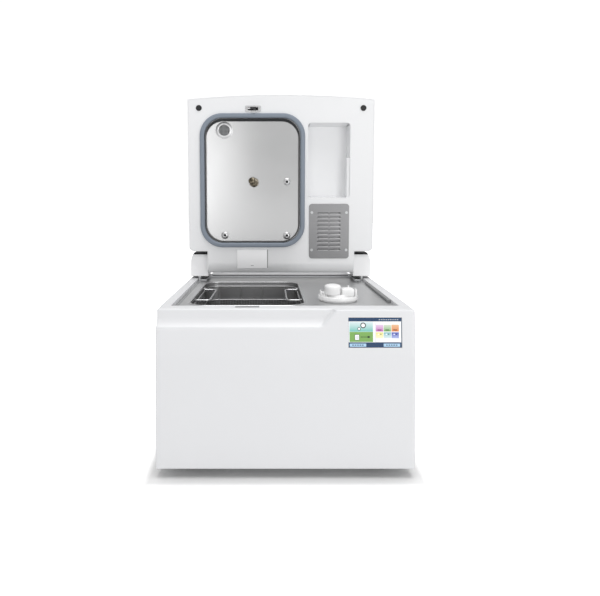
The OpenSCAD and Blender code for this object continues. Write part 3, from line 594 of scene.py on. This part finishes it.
def front_point(x, row):
    """Point of the cover's skin at a place across and a row, and the way inwards there."""
    kind, value = row
    if kind == "front":
        foot = 1.2 * MM if value == FRONT_FOOT else 0
        y = FRONT + front_depth(value) + scoop_depth(x, value) + foot
        return Vector((x, y, value)), Vector((0, 1, 0))
    pressed = scoop_depth(x, RIM - EDGE)
    angle = math.radians(value)
    if kind == "round":
        y = FRONT + 4 * MM + EDGE * (1 - math.cos(angle)) + pressed
        z = RIM - EDGE * (1 - math.sin(angle))
        return Vector((x, y, z)), Vector((0, math.cos(angle), -math.sin(angle)))
    if kind == "top":
        fade = min(1, max(0, (FRONT + 26 * MM - value) / (16 * MM)))
        return Vector((x, value + pressed * fade, RIM)), Vector((0, 0, -1))
    if kind == "lip":
        y = FRONT + 43 * MM + LIP * math.sin(angle)
        return Vector((x, y, RIM - LIP + LIP * math.cos(angle))), Vector((0, 0, -1))
    return Vector((x, FRONT + 45 * MM, value)), Vector((0, -1, 0))


def front_columns(side, corner):
    """Places across, with shares of the straight return and of the round corner at each end."""
    left = [(-side, share, 0) for share in (1.0, 0.6, 0.3)]
    for turn in (90, 67.5, 45, 22.5):
        angle = math.radians(turn)
        left.append((-side + corner * (1 - math.sin(angle)), 0, 1 - math.cos(angle)))
    knots = [-side + corner, -95 * MM, -49 * MM, 48 * MM, 112 * MM, 116 * MM, 215 * MM, side - corner]
    middle = [(x, 0, 0) for x in stations(knots, [10, 4, 8, 28, 1, 8, 3])]
    right = [(-x, share, bend) for x, share, bend in reversed(left)]
    return left + middle + right


def front_skin_point(x, share, bend, row, corner):
    """Point of the skin at a column and row; the ends meet in a mitre at the top edge."""
    kind, value = row
    place, inward = front_point(x, row)
    under = RIM - corner - share * 4 * MM
    if kind in ("lip", "down") or (kind == "top" and value > FRONT + 41.5 * MM):
        mitre = Vector((x, FRONT + 45 * MM - corner, under))
        return mitre if share else place.lerp(mitre, bend)
    if not share:
        return place + inward * (corner * bend)
    face = place.y if kind == "front" else FRONT + 4 * MM + scoop_depth(x, RIM - EDGE)
    back = face + corner + share * 20 * MM
    return Vector((x, back if kind == "front" else max(place.y, back), min(place.z, under)))


def make_front_cover():
    """Moulded front with the finger scoop, the display window and the latch slot."""
    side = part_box("front_cover")[1].x
    corner = EDGE
    columns = front_columns(side, corner)
    rows = front_rows()
    bm = bmesh.new()
    wide, tall = len(columns) - 1, len(rows) - 1
    bmesh.ops.create_grid(bm, x_segments=wide, y_segments=tall, size=0.5)
    cut = []
    for face in bm.faces:
        middle = face.calc_center_median()
        x = columns[int((middle.x + 0.5) * wide)][0]
        kind, value = rows[int((middle.y + 0.5) * tall)]
        window = (kind == "front" and 115.9 * MM < x < 214.9 * MM
                  and CREASE + 16.9 * MM < value < RIM - 14.1 * MM)
        slot = (kind == "top" and -95.1 * MM < x < -49.1 * MM
                and FRONT + 25.9 * MM < value < FRONT + 39.9 * MM)
        if window or slot:
            cut.append(face)
    for vert in bm.verts:
        column = columns[round((vert.co.x + 0.5) * wide)]
        row = rows[round((vert.co.y + 0.5) * tall)]
        vert.co = front_skin_point(*column, row, corner)
    bmesh.ops.delete(bm, geom=cut, context="FACES")
    bmesh.ops.remove_doubles(bm, verts=bm.verts, dist=0.01 * MM)
    bmesh.ops.recalc_face_normals(bm, faces=bm.faces)
    if sum((f.normal.y for f in bm.faces)) > 0:
        bmesh.ops.reverse_faces(bm, faces=bm.faces)
    bmesh.ops.solidify(bm, geom=bm.faces[:], thickness=2.6 * MM)
    return settle("front_cover_skin", bm, "body", "white_moulding", materials["front_white"],
                  replaces=("front_cover",), sharp=50)


# ---- Display ----

INKS = {
    "navy": (0.018, 0.05, 0.12), "paper": (0.88, 0.90, 0.92), "teal": (0.16, 0.52, 0.46),
    "leaf": (0.20, 0.40, 0.10), "button": (0.40, 0.60, 0.78), "line": (0.10, 0.13, 0.18),
    "ink": (0.02, 0.02, 0.02), "white": (0.95, 0.95, 0.95), "grey": (0.45, 0.5, 0.56),
    "magenta": (0.52, 0.12, 0.46), "magenta_pale": (0.75, 0.6, 0.75), "green": (0.16, 0.42, 0.10),
    "green_pale": (0.66, 0.72, 0.62), "orange": (0.68, 0.20, 0.05), "orange_pale": (0.80, 0.50, 0.30),
    "yellow": (0.82, 0.75, 0.22), "yellow_pale": (0.88, 0.86, 0.62), "aqua": (0.18, 0.45, 0.50),
    "aqua_pale": (0.70, 0.80, 0.82), "blue": (0.07, 0.09, 0.42), "blue_pale": (0.40, 0.46, 0.75),
}


def screen_frame():
    """Matrix from the display's own plane (X across, Y up, Z out) to the leaning upper front."""
    low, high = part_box("display_glass")
    lean = Matrix.Rotation(-SCREEN_LEAN, 4, "X")
    stand = Matrix.Rotation(math.radians(90), 4, "X")
    corner = Vector((low.x, FRONT, CREASE)) + lean @ Vector((0, 0.5 * MM, 17.1 * MM))
    return Matrix.Translation(corner) @ lean @ stand, (high.x - low.x), 54.8 * MM


def add_tile(bm, inks, corners, level, colour, top_colour=None, radius=0.0, sides=4):
    """Thin coloured tile on the display: a rectangle or, with a radius, a regular shape round a centre."""
    thick = 0.06 * MM
    if radius:
        made = bmesh.ops.create_cone(bm, cap_ends=True, segments=sides, radius1=radius, radius2=radius,
                                     depth=thick)["verts"]
        bmesh.ops.transform(bm, matrix=Matrix.Translation((*corners, level * thick)), verts=made)
    else:
        x0, y0, x1, y1 = corners
        made = add_box(bm, (x0, y0, (level - 0.5) * thick), (x1, y1, (level + 0.5) * thick))
    middle = sum((v.co.y for v in made)) / len(made)
    for vert in made:
        ink = INKS[top_colour if top_colour and vert.co.y > middle else colour]
        for loop in vert.link_loops:
            loop[inks] = (*ink, 1)


def make_display():
    """Lit picture of plain tiles and symbols behind the display window."""
    place, wide, tall = screen_frame()
    bm = bmesh.new()
    inks = bm.loops.layers.float_color.new("ink")

    def tile(u0, v0, u1, v1, level, colour, top=None):
        add_tile(bm, inks, (u0 * wide, v0 * tall, u1 * wide, v1 * tall), level, colour, top)

    def dot(u, v, size, level, colour, sides=24):
        add_tile(bm, inks, (u * wide, v * tall), level, colour, radius=size * wide, sides=sides)

    tile(0.003, 0.005, 0.997, 0.995, 1, "paper")
    tile(0.003, 0.872, 0.997, 0.995, 2, "navy")
    tile(0.003, 0.005, 0.997, 0.176, 2, "navy")
    tile(0.985, 0.005, 0.997, 0.995, 3, "line")
    for k in range(9):
        tile(0.57 + 0.042 * k, 0.915, 0.595 + 0.042 * k, 0.945, 3, "grey")
    tile(0.023, 0.030, 0.33, 0.136, 3, "button")
    tile(0.655, 0.030, 0.96, 0.136, 3, "button")
    for k in range(5):
        tile(0.07 + 0.045 * k, 0.07, 0.10 + 0.045 * k, 0.10, 4, "navy")
        tile(0.70 + 0.045 * k, 0.07, 0.73 + 0.045 * k, 0.10, 4, "navy")
    tile(0.020, 0.530, 0.458, 0.858, 2, "teal", "aqua_pale")
    tile(0.020, 0.190, 0.458, 0.522, 2, "leaf")
    for u, v, size in ((0.275, 0.74, 0.052), (0.200, 0.625, 0.031)):
        dot(u, v, size, 3, "ink")
        dot(u, v, size * 0.68, 4, "white")
    tile(0.115, 0.245, 0.205, 0.440, 3, "ink")
    tile(0.122, 0.258, 0.198, 0.427, 4, "white")
    for k in range(3):
        tile(0.135, 0.295 + 0.04 * k, 0.185, 0.308 + 0.04 * k, 5, "grey")
    tile(0.235, 0.345, 0.40, 0.362, 3, "ink")
    dot(0.238, 0.353, 0.013, 3, "ink", 3)
    tile(0.355, 0.325, 0.395, 0.383, 4, "ink")
    tile(0.502, 0.185, 0.975, 0.862, 2, "white")
    tile(0.502, 0.185, 0.506, 0.862, 3, "grey")
    tile(0.502, 0.185, 0.975, 0.190, 3, "grey")
    upper = (("magenta", "magenta_pale"), ("green", "green_pale"), ("orange", "orange_pale"))
    lower = (("yellow_pale", "yellow"), ("aqua_pale", "aqua"), ("blue_pale", "blue"))
    for k, (full, pale) in enumerate(upper):
        tile(0.512 + 0.146 * k, 0.535, 0.650 + 0.146 * k, 0.765, 3, full, pale)
        tile(0.545 + 0.146 * k, 0.575, 0.615 + 0.146 * k, 0.60, 4, "ink")
    for k, (full, pale) in enumerate(lower):
        tile(0.512 + 0.146 * k, 0.310, 0.650 + 0.146 * k, 0.510, 3, full, pale)
        dot(0.56 + 0.146 * k, 0.445, 0.012, 4, "white", 12)
        dot(0.605 + 0.146 * k, 0.445, 0.010, 4, "ink", 12)
    bmesh.ops.transform(bm, matrix=place, verts=bm.verts)
    return settle("display_picture", bm, "body", "screen", materials["picture"])


# ---- Basket ----

def make_basket():
    """Welded wire basket: an open upper frame over a finer mesh of uprights, rings and floor wires."""
    low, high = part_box("basket")
    high = Vector((high.x, high.y, high.z - 5.9 * MM))
    floor_z = low.z + 26 * MM
    low = Vector((low.x + 2.5 * MM, low.y, floor_z))
    high.x -= 2.5 * MM
    bm = bmesh.new()
    corner = 31 * MM
    brim = high.z - 36 * MM

    def ring(z, radius, inset=0.0):
        a = (low.x + inset, low.y + inset)
        b = (high.x - inset, high.y - inset)
        add_wire(bm, [(x, y, z) for x, y in round_corners(a, b, corner)], radius, closed=True)

    ring(high.z - 1.5 * MM, 1.5 * MM, 1.5 * MM)
    ring(brim, 1.4 * MM, 1.5 * MM)
    ring(floor_z + 1.6 * MM, 1.6 * MM, 2.2 * MM)
    for k in range(1, 5):
        ring(floor_z + (brim - floor_z) * k / 5, 0.75 * MM, 2.6 * MM)
    thin = 0.8 * MM
    inset = 2.6 * MM
    left, right, front, back = low.x + inset, high.x - inset, low.y + inset, high.y - inset
    bend, bed, rim = floor_z + 4 * MM, floor_z + 2 * MM, high.z - 2 * MM
    for k, x in enumerate(stations((low.x + corner, high.x - corner), [24])):
        top = rim if k % 8 == 0 else brim
        add_wire(bm, [(x, front, rim), (x, front, bend), (x, front + 2 * MM, bed), (x, back - 2 * MM, bed),
                      (x, back, bend), (x, back, top)], thin, sides=6)
    for k, y in enumerate(stations((low.y + corner, high.y - corner), [32])):
        top = rim if k % 8 == 0 else brim
        add_wire(bm, [(left, y, top), (left, y, bend), (left + 2 * MM, y, bed), (right - 2 * MM, y, bed),
                      (right, y, bend), (right, y, top)], thin, sides=6)
    for side_x in (left, right):
        for side_y in (front, back):
            cx = side_x + math.copysign(corner - inset, (low.x + high.x) / 2 - side_x)
            cy = side_y + math.copysign(corner - inset, (low.y + high.y) / 2 - side_y)
            for angle in (15, 30, 45, 60, 75):
                dx = math.copysign(math.cos(math.radians(angle)), side_x - cx) * (corner - inset)
                dy = math.copysign(math.sin(math.radians(angle)), side_y - cy) * (corner - inset)
                add_wire(bm, [(cx + dx, cy + dy, brim), (cx + dx, cy + dy, bed)], thin, sides=6)
    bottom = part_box("basket")[0].z
    for x in (low.x + 28 * MM, high.x - 28 * MM):
        for y in (low.y + 40 * MM, high.y - 40 * MM):
            add_cylinder(bm, (x, y), 4 * MM, bottom, floor_z + 2 * MM, 16)
    for bail in ("basket_handle_left", "basket_handle_right"):
        a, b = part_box(bail)
        pin_x = a.x + 2 * MM if bail.endswith("left") else b.x - 2 * MM
        pin_z = (a.z + b.z) / 2
        for y in (a.y + 2.5 * MM, b.y - 2.5 * MM):
            turns = [math.radians(t) for t in range(0, 360, 30)]
            circle = [(pin_x + 3.1 * MM * math.cos(t), y, pin_z + 3.1 * MM * math.sin(t)) for t in turns]
            add_wire(bm, circle, 0.9 * MM, closed=True)
    return settle("basket_wires", bm, "basket", "wire_steel", materials["mesh_steel"],
                  replaces=("basket",), sharp=60)


# ---- Screw cap ----

def make_cap():
    """Screw cap: a plain disc that carries a round knob, a square block and two prongs."""
    low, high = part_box("screw_cap")
    cx, cy = (low.x + high.x) / 2, (low.y + high.y) / 2
    base, radius = low.z, (high.x - low.x) / 2
    top = base + 8.5 * MM
    bm = bmesh.new()
    hollow = 30.5 * MM
    lathe(bm, [
        (hollow, base + 9.9 * MM), (hollow, base), (radius - 1.2 * MM, base), (radius, base + 1.2 * MM),
        (radius, top - 1.8 * MM), (radius - 0.6 * MM, top - 0.6 * MM), (radius - 2 * MM, top),
        (radius - 5 * MM, top), (radius - 5.3 * MM, top - 1.6 * MM), (radius - 6.4 * MM, top - 1.6 * MM),
        (radius - 6.7 * MM, top), (31.8 * MM, top), (31.3 * MM, top + 3.6 * MM), (30.6 * MM, top + 4 * MM),
        (0, top + 4 * MM),
    ], (cx, cy), 72)
    lathe(bm, [(0, base + 9.9 * MM), (hollow, base + 9.9 * MM)], (cx, cy), 72)
    lathe(bm, profile(top, (13.8, 3.5), (13.8, 4.9), (16.6, 5.1), (17, 5.8), (16.6, 16), (16.9, 18),
                      (16.4, 21), (14.6, 23), (12, 23.6), (11, 23.0), (0, 23.0)),
          (cx - 13 * MM, cy - 15.5 * MM), 56)
    here = Matrix.Translation((cx, cy, top))

    def part(low, high, bevel, taper=1.0):
        verts = add_box(bm, Vector(low) * MM, Vector(high) * MM, bevel * MM, 3)
        middle = (low[0] + high[0]) / 2 * MM
        for vert in verts:
            if vert.co.z > (low[2] + high[2]) / 2 * MM:
                vert.co.x = middle + (vert.co.x - middle) * taper
        bmesh.ops.transform(bm, matrix=here, verts=verts)

    part((8, -27, -0.5), (27.5, -6, 2.6), 0.3)
    part((5, -30, 1.9), (30, -3, 16.5), 2.4)
    part((8, -23, 15.6), (26, -9, 17.6), 0.8, 0.94)
    part((-39, -16, -1), (-34.5, 4, 10), 1.0, 0.6)
    part((-34, -8, -1), (-27, 6, 6), 0.8, 0.8)
    part((32.6, -22, -1), (37.6, -4, 14), 1.0, 0.7)
    part((20, -2, -1), (24, 5, 19), 0.9, 0.6)
    for k in range(3):
        part((-36 + 4 * k, -26 + 1.5 * k, -1), (-34 + 4 * k, -18, 4), 0.4)
    return settle("screw_cap_shown", bm, "cap", "cap_white", materials["cap_white"],
                  replaces=("screw_cap",), sharp=40)


# ---- Lid ----

def make_nozzle():
    """Brass spray nozzle: washer, hexagon and a tilted round head with its spray hole."""
    low, high = closed_box("spray_nozzle")
    cx, cy = (low.x + high.x) / 2, (low.y + high.y) / 2
    bm = bmesh.new()
    add_cylinder(bm, (cx, cy), 12 * MM, DISH - 1.6 * MM, DISH, 32)
    nut = add_cylinder(bm, (cx, cy), 12.8 * MM, DISH - 9 * MM, DISH - 1.6 * MM, 6)
    edges = list({e for v in nut for e in v.link_edges})
    bmesh.ops.bevel(bm, geom=edges, offset=0.9 * MM, offset_type="OFFSET", affect="EDGES", segments=2,
                    profile=0.5, material=-1)
    lean = (Matrix.Translation((cx, cy, DISH - 9 * MM)) @ Matrix.Rotation(math.radians(-27), 4, "X")
            @ Matrix.Rotation(math.radians(24), 4, "Y"))
    head = profile(0, (10.4, 3), (10.4, -5), (8.2, -6.6), (9.2, -8), (9.0, -14), (7.4, -16.4), (4.8, -17.2),
                   (4.4, -15.6), (2.8, -15.4), (2.6, -17.6), (1.6, -17.8), (1.5, -12), (0, -12))
    lathe(bm, head, (0, 0), 32, lean)
    return settle("spray_nozzle_shown", bm, "lid", "brass", materials["brass"],
                  replaces=("spray_nozzle",), lid=True, sharp=40)


def make_lid_ports():
    """Three flanged air fittings on the dish, each with a black disc in its bore that paints the shade of the
    hole.
    """
    bm = bmesh.new()
    holes = bmesh.new()
    low, high = closed_box("lid_ports")
    reach = 10 * MM
    left, right, front, back = low.x + reach, high.x - reach, low.y + reach, high.y - reach
    for centre in ((right, front), (left, back - 1 * MM), (right, back)):
        lathe(bm, profile(DISH, (3.2, -0.2), (3.2, -4.6), (4, -5.4), (6.4, -4.6), (7.6, -2.2),
                          (9.6, -1.2), (10, 0)), centre, 40)
        # Black disc a little inside each bore: painted shade of the hole.
        lathe(holes, profile(DISH, (3.4, -1), (0, -1)), centre, 24)
    settle("lid_port_hole_shade", holes, "lid", "black_rubber", materials["rubber"], lid=True)
    return settle("lid_ports_shown", bm, "lid", "polished_stainless", materials["satin_steel"],
                  replaces=("lid_ports",), lid=True, sharp=40)


def make_filter_port():
    """Round air filter: a turned ring with a fine dark mesh disc in it."""
    low, high = closed_box("filter_port")
    cx, cy = (low.x + high.x) / 2, (low.y + high.y) / 2
    bm = bmesh.new()
    lathe(bm, profile(DISH, (14.2, 0), (14.2, -3.4), (15.2, -4), (18, -3.6), (20.5, -1.6), (22, -1), (22, 0)),
          (cx, cy), 64)
    settle("filter_ring", bm, "lid", "polished_stainless", materials["satin_steel"],
           replaces=("filter_port",), lid=True, sharp=40)
    bm = bmesh.new()
    lathe(bm, profile(DISH, (14.2, -0.6), (0, -0.6)), (cx, cy), 48)
    settle("filter_back", bm, "lid", "black_rubber", materials["rubber"], lid=True)
    bm = bmesh.new()
    half = 13.6 * MM
    for k in stations((-12 * MM, 12 * MM), [7]):
        reach = math.sqrt(half * half - k * k)
        add_wire(bm, [(cx + k, cy + reach * end, DISH - 1.5 * MM) for end in (-1, 1)], 0.55 * MM, sides=6)
        add_wire(bm, [(cx + reach * end, cy + k, DISH - 2.4 * MM) for end in (-1, 1)], 0.55 * MM, sides=6)
    return settle("filter_mesh", bm, "lid", "wire_steel", materials["zinc"], lid=True)


def barrel_strip(bm, left, right, low, high, start, end, bevel=0.0):
    """Strip round the rear end of the lid, between two distances from its inner face and two angles."""
    barrel = 32 * MM
    axis = Vector((0, HINGE.y + 3 * MM, LID_FACE + barrel))
    before = set(bm.verts)
    corners = [bm.verts.new((x, axis.y, axis.z - barrel - rise)) for x, rise in
               ((left, low), (right, low), (right, high), (left, high))]
    face = bm.faces.new(corners)
    bmesh.ops.rotate(bm, verts=corners, cent=axis, matrix=Matrix.Rotation(math.radians(start), 3, "X"))
    bmesh.ops.spin(bm, geom=[face, *face.edges, *corners], cent=axis, axis=(1, 0, 0),
                   angle=math.radians(end - start), steps=max(2, int((end - start) / 3)), use_duplicate=False)
    made = [v for v in bm.verts if v not in before]
    bmesh.ops.recalc_face_normals(bm, faces=list({f for v in made for f in v.link_faces}))
    if bevel:
        edges = [e for e in {e for v in made for e in v.link_edges}
                 if e.is_manifold and e.calc_face_angle(0) > math.radians(50)]
        bmesh.ops.bevel(bm, geom=edges, offset=bevel, offset_type="OFFSET", affect="EDGES", segments=2,
                        profile=0.5, material=-1)


def make_hose_cover():
    """Straight cover over the hoses, in the lighter white that paints light on it, with a dark grey strip
    beside it that paints the shadow in the gap at its edge; it ends over the barrel of the lid.
    """
    left, right, end = -114.5 * MM, -36 * MM, 198 * MM
    bm = bmesh.new()
    add_box(bm, (left, 148.6 * MM, LID_FACE - 3.3 * MM), (right, end, LID_FACE + 1.5 * MM), 0.9 * MM, 3)
    settle("hose_cover", bm, "lid", "lid_moulding", materials["shade_lifted_white"], lid=True, sharp=50)
    # Painted shadow: a dark grey strip along the right edge of the cover, and a small dark slot mark on the
    # cover.
    bm = bmesh.new()
    barrel_strip(bm, right, right + 1.9 * MM, -0.5 * MM, 0.25 * MM, 0, 26)
    add_box(bm, (right - 0.2 * MM, 149 * MM, LID_FACE - 0.3 * MM),
            (right + 1.9 * MM, HINGE.y + 3 * MM, LID_FACE + 0.5 * MM))
    add_box(bm, (-79 * MM, 190 * MM, LID_FACE - 3.45 * MM), (-71 * MM, 191.4 * MM, LID_FACE - 3 * MM))
    return settle("hose_cover_shadow_strip", bm, "lid", "black_rubber", materials["shade_grey"], lid=True)


def make_lid_panel():
    """Inner moulding of the lid; the hollow for the screw cap narrows towards its floor."""
    bm = node_copy("lid_panel", True)
    depth = LID_FACE + 40 * MM
    low, high = Vector((69.4, -180, 0)) * MM, Vector((178.5, 14, 0)) * MM
    for vert in bm.verts:
        x, y, z = vert.co
        if abs(z - depth) > 0.2 * MM or not (low.x - MM < x < high.x + MM and low.y - MM < y < high.y + MM):
            continue
        if x > high.x - MM:
            vert.co.x -= 4 * MM
        elif x < low.x + MM:
            vert.co.x += 2 * MM
        if y < low.y + MM:
            vert.co.y += 7 * MM
        elif y > high.y - MM:
            vert.co.y -= 2 * MM
    soften(bm, 1.0 * MM, 3)
    return settle("lid_panel_shown", bm, "lid", "lid_moulding", materials["lid_white"],
                  replaces=("lid_panel",), lid=True, flat=True)


def make_hinge_covers():
    """Covers of the hinges in the lighter white that paints light on them, a little lower than black boxes
    inside them, which paint the shade in the gap that shows above each cover.
    """
    for side in ("left", "right"):
        node = "hinge_cover_" + side
        low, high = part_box(node)
        bm = node_copy(node)
        bend = high.z - 30 * MM
        for vert in bm.verts:
            if vert.co.z > bend:
                vert.co.z = bend + (vert.co.z - bend) * 27.4 / 30
        soften(bm, 1.6 * MM, 3)
        settle(node + "_shown", bm, "body", "lid_moulding", materials["shade_lifted_white"],
               replaces=(node,), flat=True)
        # Black box inside each cover: painted shade for the gap above the cover.
        bm = node_copy(node)
        middle = (low + high) / 2
        squeeze = Matrix.Diagonal((0.94, 0.96, 1, 1))
        bmesh.ops.transform(bm, matrix=Matrix.Translation(middle) @ squeeze @ Matrix.Translation(-middle),
                            verts=bm.verts)
        bmesh.ops.translate(bm, vec=(0, 0, -0.6 * MM), verts=bm.verts)
        settle(node + "_shade_block", bm, "body", "black_rubber", materials["rubber"])


def make_gasket_shade():
    """Dark band of painted shade on the inner wall of the gasket, between the gasket and the dish; it narrows
    towards the dish.
    """
    low, high = closed_box("lid_gasket")
    wide = 14.6 * MM
    bm = bmesh.new()
    loops = []
    for z, radius, left, right, top, bottom in ((LID_FACE - 3 * MM, 46.5, 1, 1, 1, 1),
                                                (DISH - 0.25 * MM, 44, -0.6, -1.6, -5, 0)):
        near = low.x + wide - left * MM, low.y + wide - top * MM
        far = high.x - wide + right * MM, high.y - wide + bottom * MM
        points = round_corners(near, far, radius * MM, 12)
        verts = [bm.verts.new((x, y, z)) for x, y in points]
        loops.append([bm.edges.new(pair) for pair in zip(verts, verts[1:] + verts[:1])])
    bmesh.ops.bridge_loops(bm, edges=loops[0] + loops[1])
    bmesh.ops.recalc_face_normals(bm, faces=bm.faces)
    bmesh.ops.solidify(bm, geom=bm.faces[:], thickness=0.5 * MM)
    # Near-black band: painted shade inside the gasket.
    return settle("gasket_shade_band", bm, "lid", "silicone", materials["gasket_shade_dark"], lid=True, sharp=60)


def make_vent_bits():
    """Turned-out lower lips of the vent slots, in a lighter steel than the grille that paints light on their
    upper faces, and the baffle behind them.
    """
    low, high = closed_box("vent_grille")
    cx, cy = (low.x + high.x) / 2, (low.y + high.y) / 2
    bm = bmesh.new()
    for k in range(10):
        y = cy + (-47 + 10.5 * k) * MM
        for side in (-1, 1):
            x = cx + 15.5 * side * MM
            add_box(bm, (x - 13.6 * MM, y + 1.2 * MM, low.z - 1.1 * MM),
                    (x + 13.6 * MM, y + 2.7 * MM, low.z + 0.4 * MM), 0.45 * MM, 2)
    settle("vent_lips", bm, "lid", "stainless", materials["vent_lip_highlight"], lid=True, sharp=50)
    bm = bmesh.new()
    add_box(bm, (cx - 31 * MM, cy - 52 * MM, LID_FACE + 1.6 * MM),
            (cx + 26.5 * MM, cy + 52 * MM, LID_FACE + 2.6 * MM), 0.3 * MM, 2)
    return settle("vent_baffle", bm, "lid", "stainless", materials["vent_back"], lid=True)


def make_latch_bits():
    """Bright striker bar and its two screws behind the latch window."""
    low, high = closed_box("latch_plate")
    cy = (low.y + high.y) / 2
    bm = bmesh.new()
    add_wire(bm, [(x, cy - 0.5 * MM, LID_FACE - 1 * MM) for x in (low.x + 8 * MM, high.x - 24 * MM)],
             1.9 * MM, sides=12)
    for x in (low.x + 3.6 * MM, high.x - 3.6 * MM):
        lathe(bm, profile(low.z, (2.6, 0), (2.4, -0.7), (1.4, -0.9), (0, -0.6)), (x, cy), 20)
    return settle("latch_bits", bm, "lid", "wire_steel", materials["wire_steel"], lid=True)


# ---- Deck ----

def make_chamber_lip():
    """Rolled bright edge of the chamber in the deck."""
    low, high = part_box("chamber")
    bm = bmesh.new()
    corners = (low.x + 0.3 * MM, low.y + 0.3 * MM), (high.x - 0.3 * MM, high.y - 0.3 * MM)
    path = [(x, y, DECK + 0.3 * MM) for x, y in round_corners(*corners, 37.5 * MM, 12)]
    add_wire(bm, path, 1.7 * MM, closed=True, sides=12)
    return settle("chamber_lip", bm, "body", "stainless", materials["wire_steel"], sharp=80)


def make_deck_beads():
    """Pressed ridge along the left of the deck, in a darker steel that paints shade on it, and a dark grey
    strip along the right rim that paints the shade on the rim's inner wall.
    """
    low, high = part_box("steel_deck")
    bm = bmesh.new()
    # The ridge wires use a darker steel than the deck: painted shade along the pressed ridge.
    for x in (low.x + 3.8 * MM, low.x + 8.2 * MM):
        ends = (low.y + 14 * MM, high.y - 90 * MM)
        add_wire(bm, [(x, y, DECK - 0.4 * MM) for y in ends], 1.3 * MM, sides=12)
    settle("deck_beads", bm, "body", "stainless", materials["bead_shade_steel"], sharp=80)
    # Dark grey strip: painted shade on the inner wall of the right rim.
    bm = bmesh.new()
    add_box(bm, (high.x - 7 * MM, FRONT + 106 * MM, DECK),
            (high.x - 0.1 * MM, FRONT + 351 * MM, RIM - 0.8 * MM), 0.8 * MM, 2)
    return settle("rim_wall_shade", bm, "body", "black_rubber", materials["shade_grey"])


def make_rear_highlight_and_shade():
    """Bright edge of the bar behind the deck in the lighter white, painted light where the lid shades the
    bar, with a black strip under it that paints the shade of the trough.
    """
    low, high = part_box("steel_deck")
    half, face = high.x - 31 * MM, 220 * MM
    bm = bmesh.new()
    # White strip in the lighter white: painted light on the edge of the bar.
    add_box(bm, (-half, face - 0.9 * MM, RIM - 0.6 * MM),
            (half, face + 0.3 * MM, RIM + 3.9 * MM), 0.4 * MM, 2)
    settle("rear_bar_highlight", bm, "body", "white_moulding", materials["shade_lifted_white"])
    bm = bmesh.new()
    # Black strip: painted shade in the trough under the bar.
    add_box(bm, (-half, face - 0.6 * MM, RIM - 2.6 * MM), (half, face + 0.3 * MM, RIM - 0.7 * MM))
    return settle("rear_shade_strip", bm, "body", "black_rubber", materials["rubber"])


# ---- Build ----

materials = make_materials()
make_camera()
make_studio()

PLAIN = {
    "front_white": "front_cover top_frame",
    "sheet_white": "side_cover_left side_cover_right rear_cover",
    "zinc": (
        "base_tray chassis_frame cover_screws ultrasonic_transducers power_supply "
        "hinge_bracket_left hinge_bracket_right vent_screws"),
    "deck_steel": "steel_deck latch_plate",
    "rubber": "feet cap_seal lid_bumpers",
    "chamber_shade_steel": "chamber",
    "wire_steel": (
        "drain_strainer hinge_shaft lock_bolt lid_ports filter_port basket "
        "basket_handle_left basket_handle_right"),
    "grey_plastic": "drain_elbow inlet_valve dosing_pump drain_outlet nozzle_pipe dryer_duct",
    "dark_steel": "heater_element torsion_springs",
    "motor_paint": "wash_pump drain_pump",
    "acetal": "pump_impeller",
    "tank_plastic": "softener_tank",
    "cap_white": "softener_neck screw_cap",
    "board_green": "control_board",
    "glass_black": "display_glass",
    "black_plastic": (
        "display_module fan_housing fan_rotor mains_inlet power_rocker lock_housing "
        "latch_hook"),
    "brass": "water_inlet spray_nozzle",
    "lid_white": "hinge_cover_left hinge_cover_right lid_shell lid_panel",
    "bronze": "hinge_bushes",
    "dish_steel": "lid_plate",
    "silicone": "lid_gasket",
    "vent_steel": "vent_grille",
}

for finish, nodes in PLAIN.items():
    for node in nodes.split():
        mesh = NODES[node].data
        mesh.materials.clear()
        mesh.materials.append(materials[finish])

make_front_cover()
make_display()
make_basket()
make_cap()
make_nozzle()
make_lid_ports()
make_filter_port()
make_hose_cover()
make_lid_panel()
make_vent_bits()
make_hinge_covers()
make_gasket_shade()
make_latch_bits()
make_chamber_lip()
make_deck_beads()
make_rear_highlight_and_shade()

rounded_node("top_frame", "body", "white_moulding", materials["front_white"], 1.2 * MM, 3)
rounded_node("lid_shell", "lid", "lid_moulding", materials["lid_white"], 1.3 * MM, 3, lid=True)
rounded_node("lid_gasket", "lid", "silicone", materials["silicone"], 4.2 * MM, 5, lid=True)
rounded_node("lid_plate", "lid", "polished_stainless", materials["dish_steel"], 0.7 * MM, 2, lid=True)
rounded_node("lid_bumpers", "lid", "black_rubber", materials["rubber"], 0.7 * MM, 3, lid=True)
rounded_node("latch_plate", "lid", "stainless", materials["deck_steel"], 0.35 * MM, 2, lid=True)
rounded_node("latch_hook", "hook", "black_plastic", materials["black_plastic"], 0.7 * MM, 2, lid=True)
rounded_node("softener_neck", "body", "cap_white", materials["cap_white"], 0.6 * MM, 2)
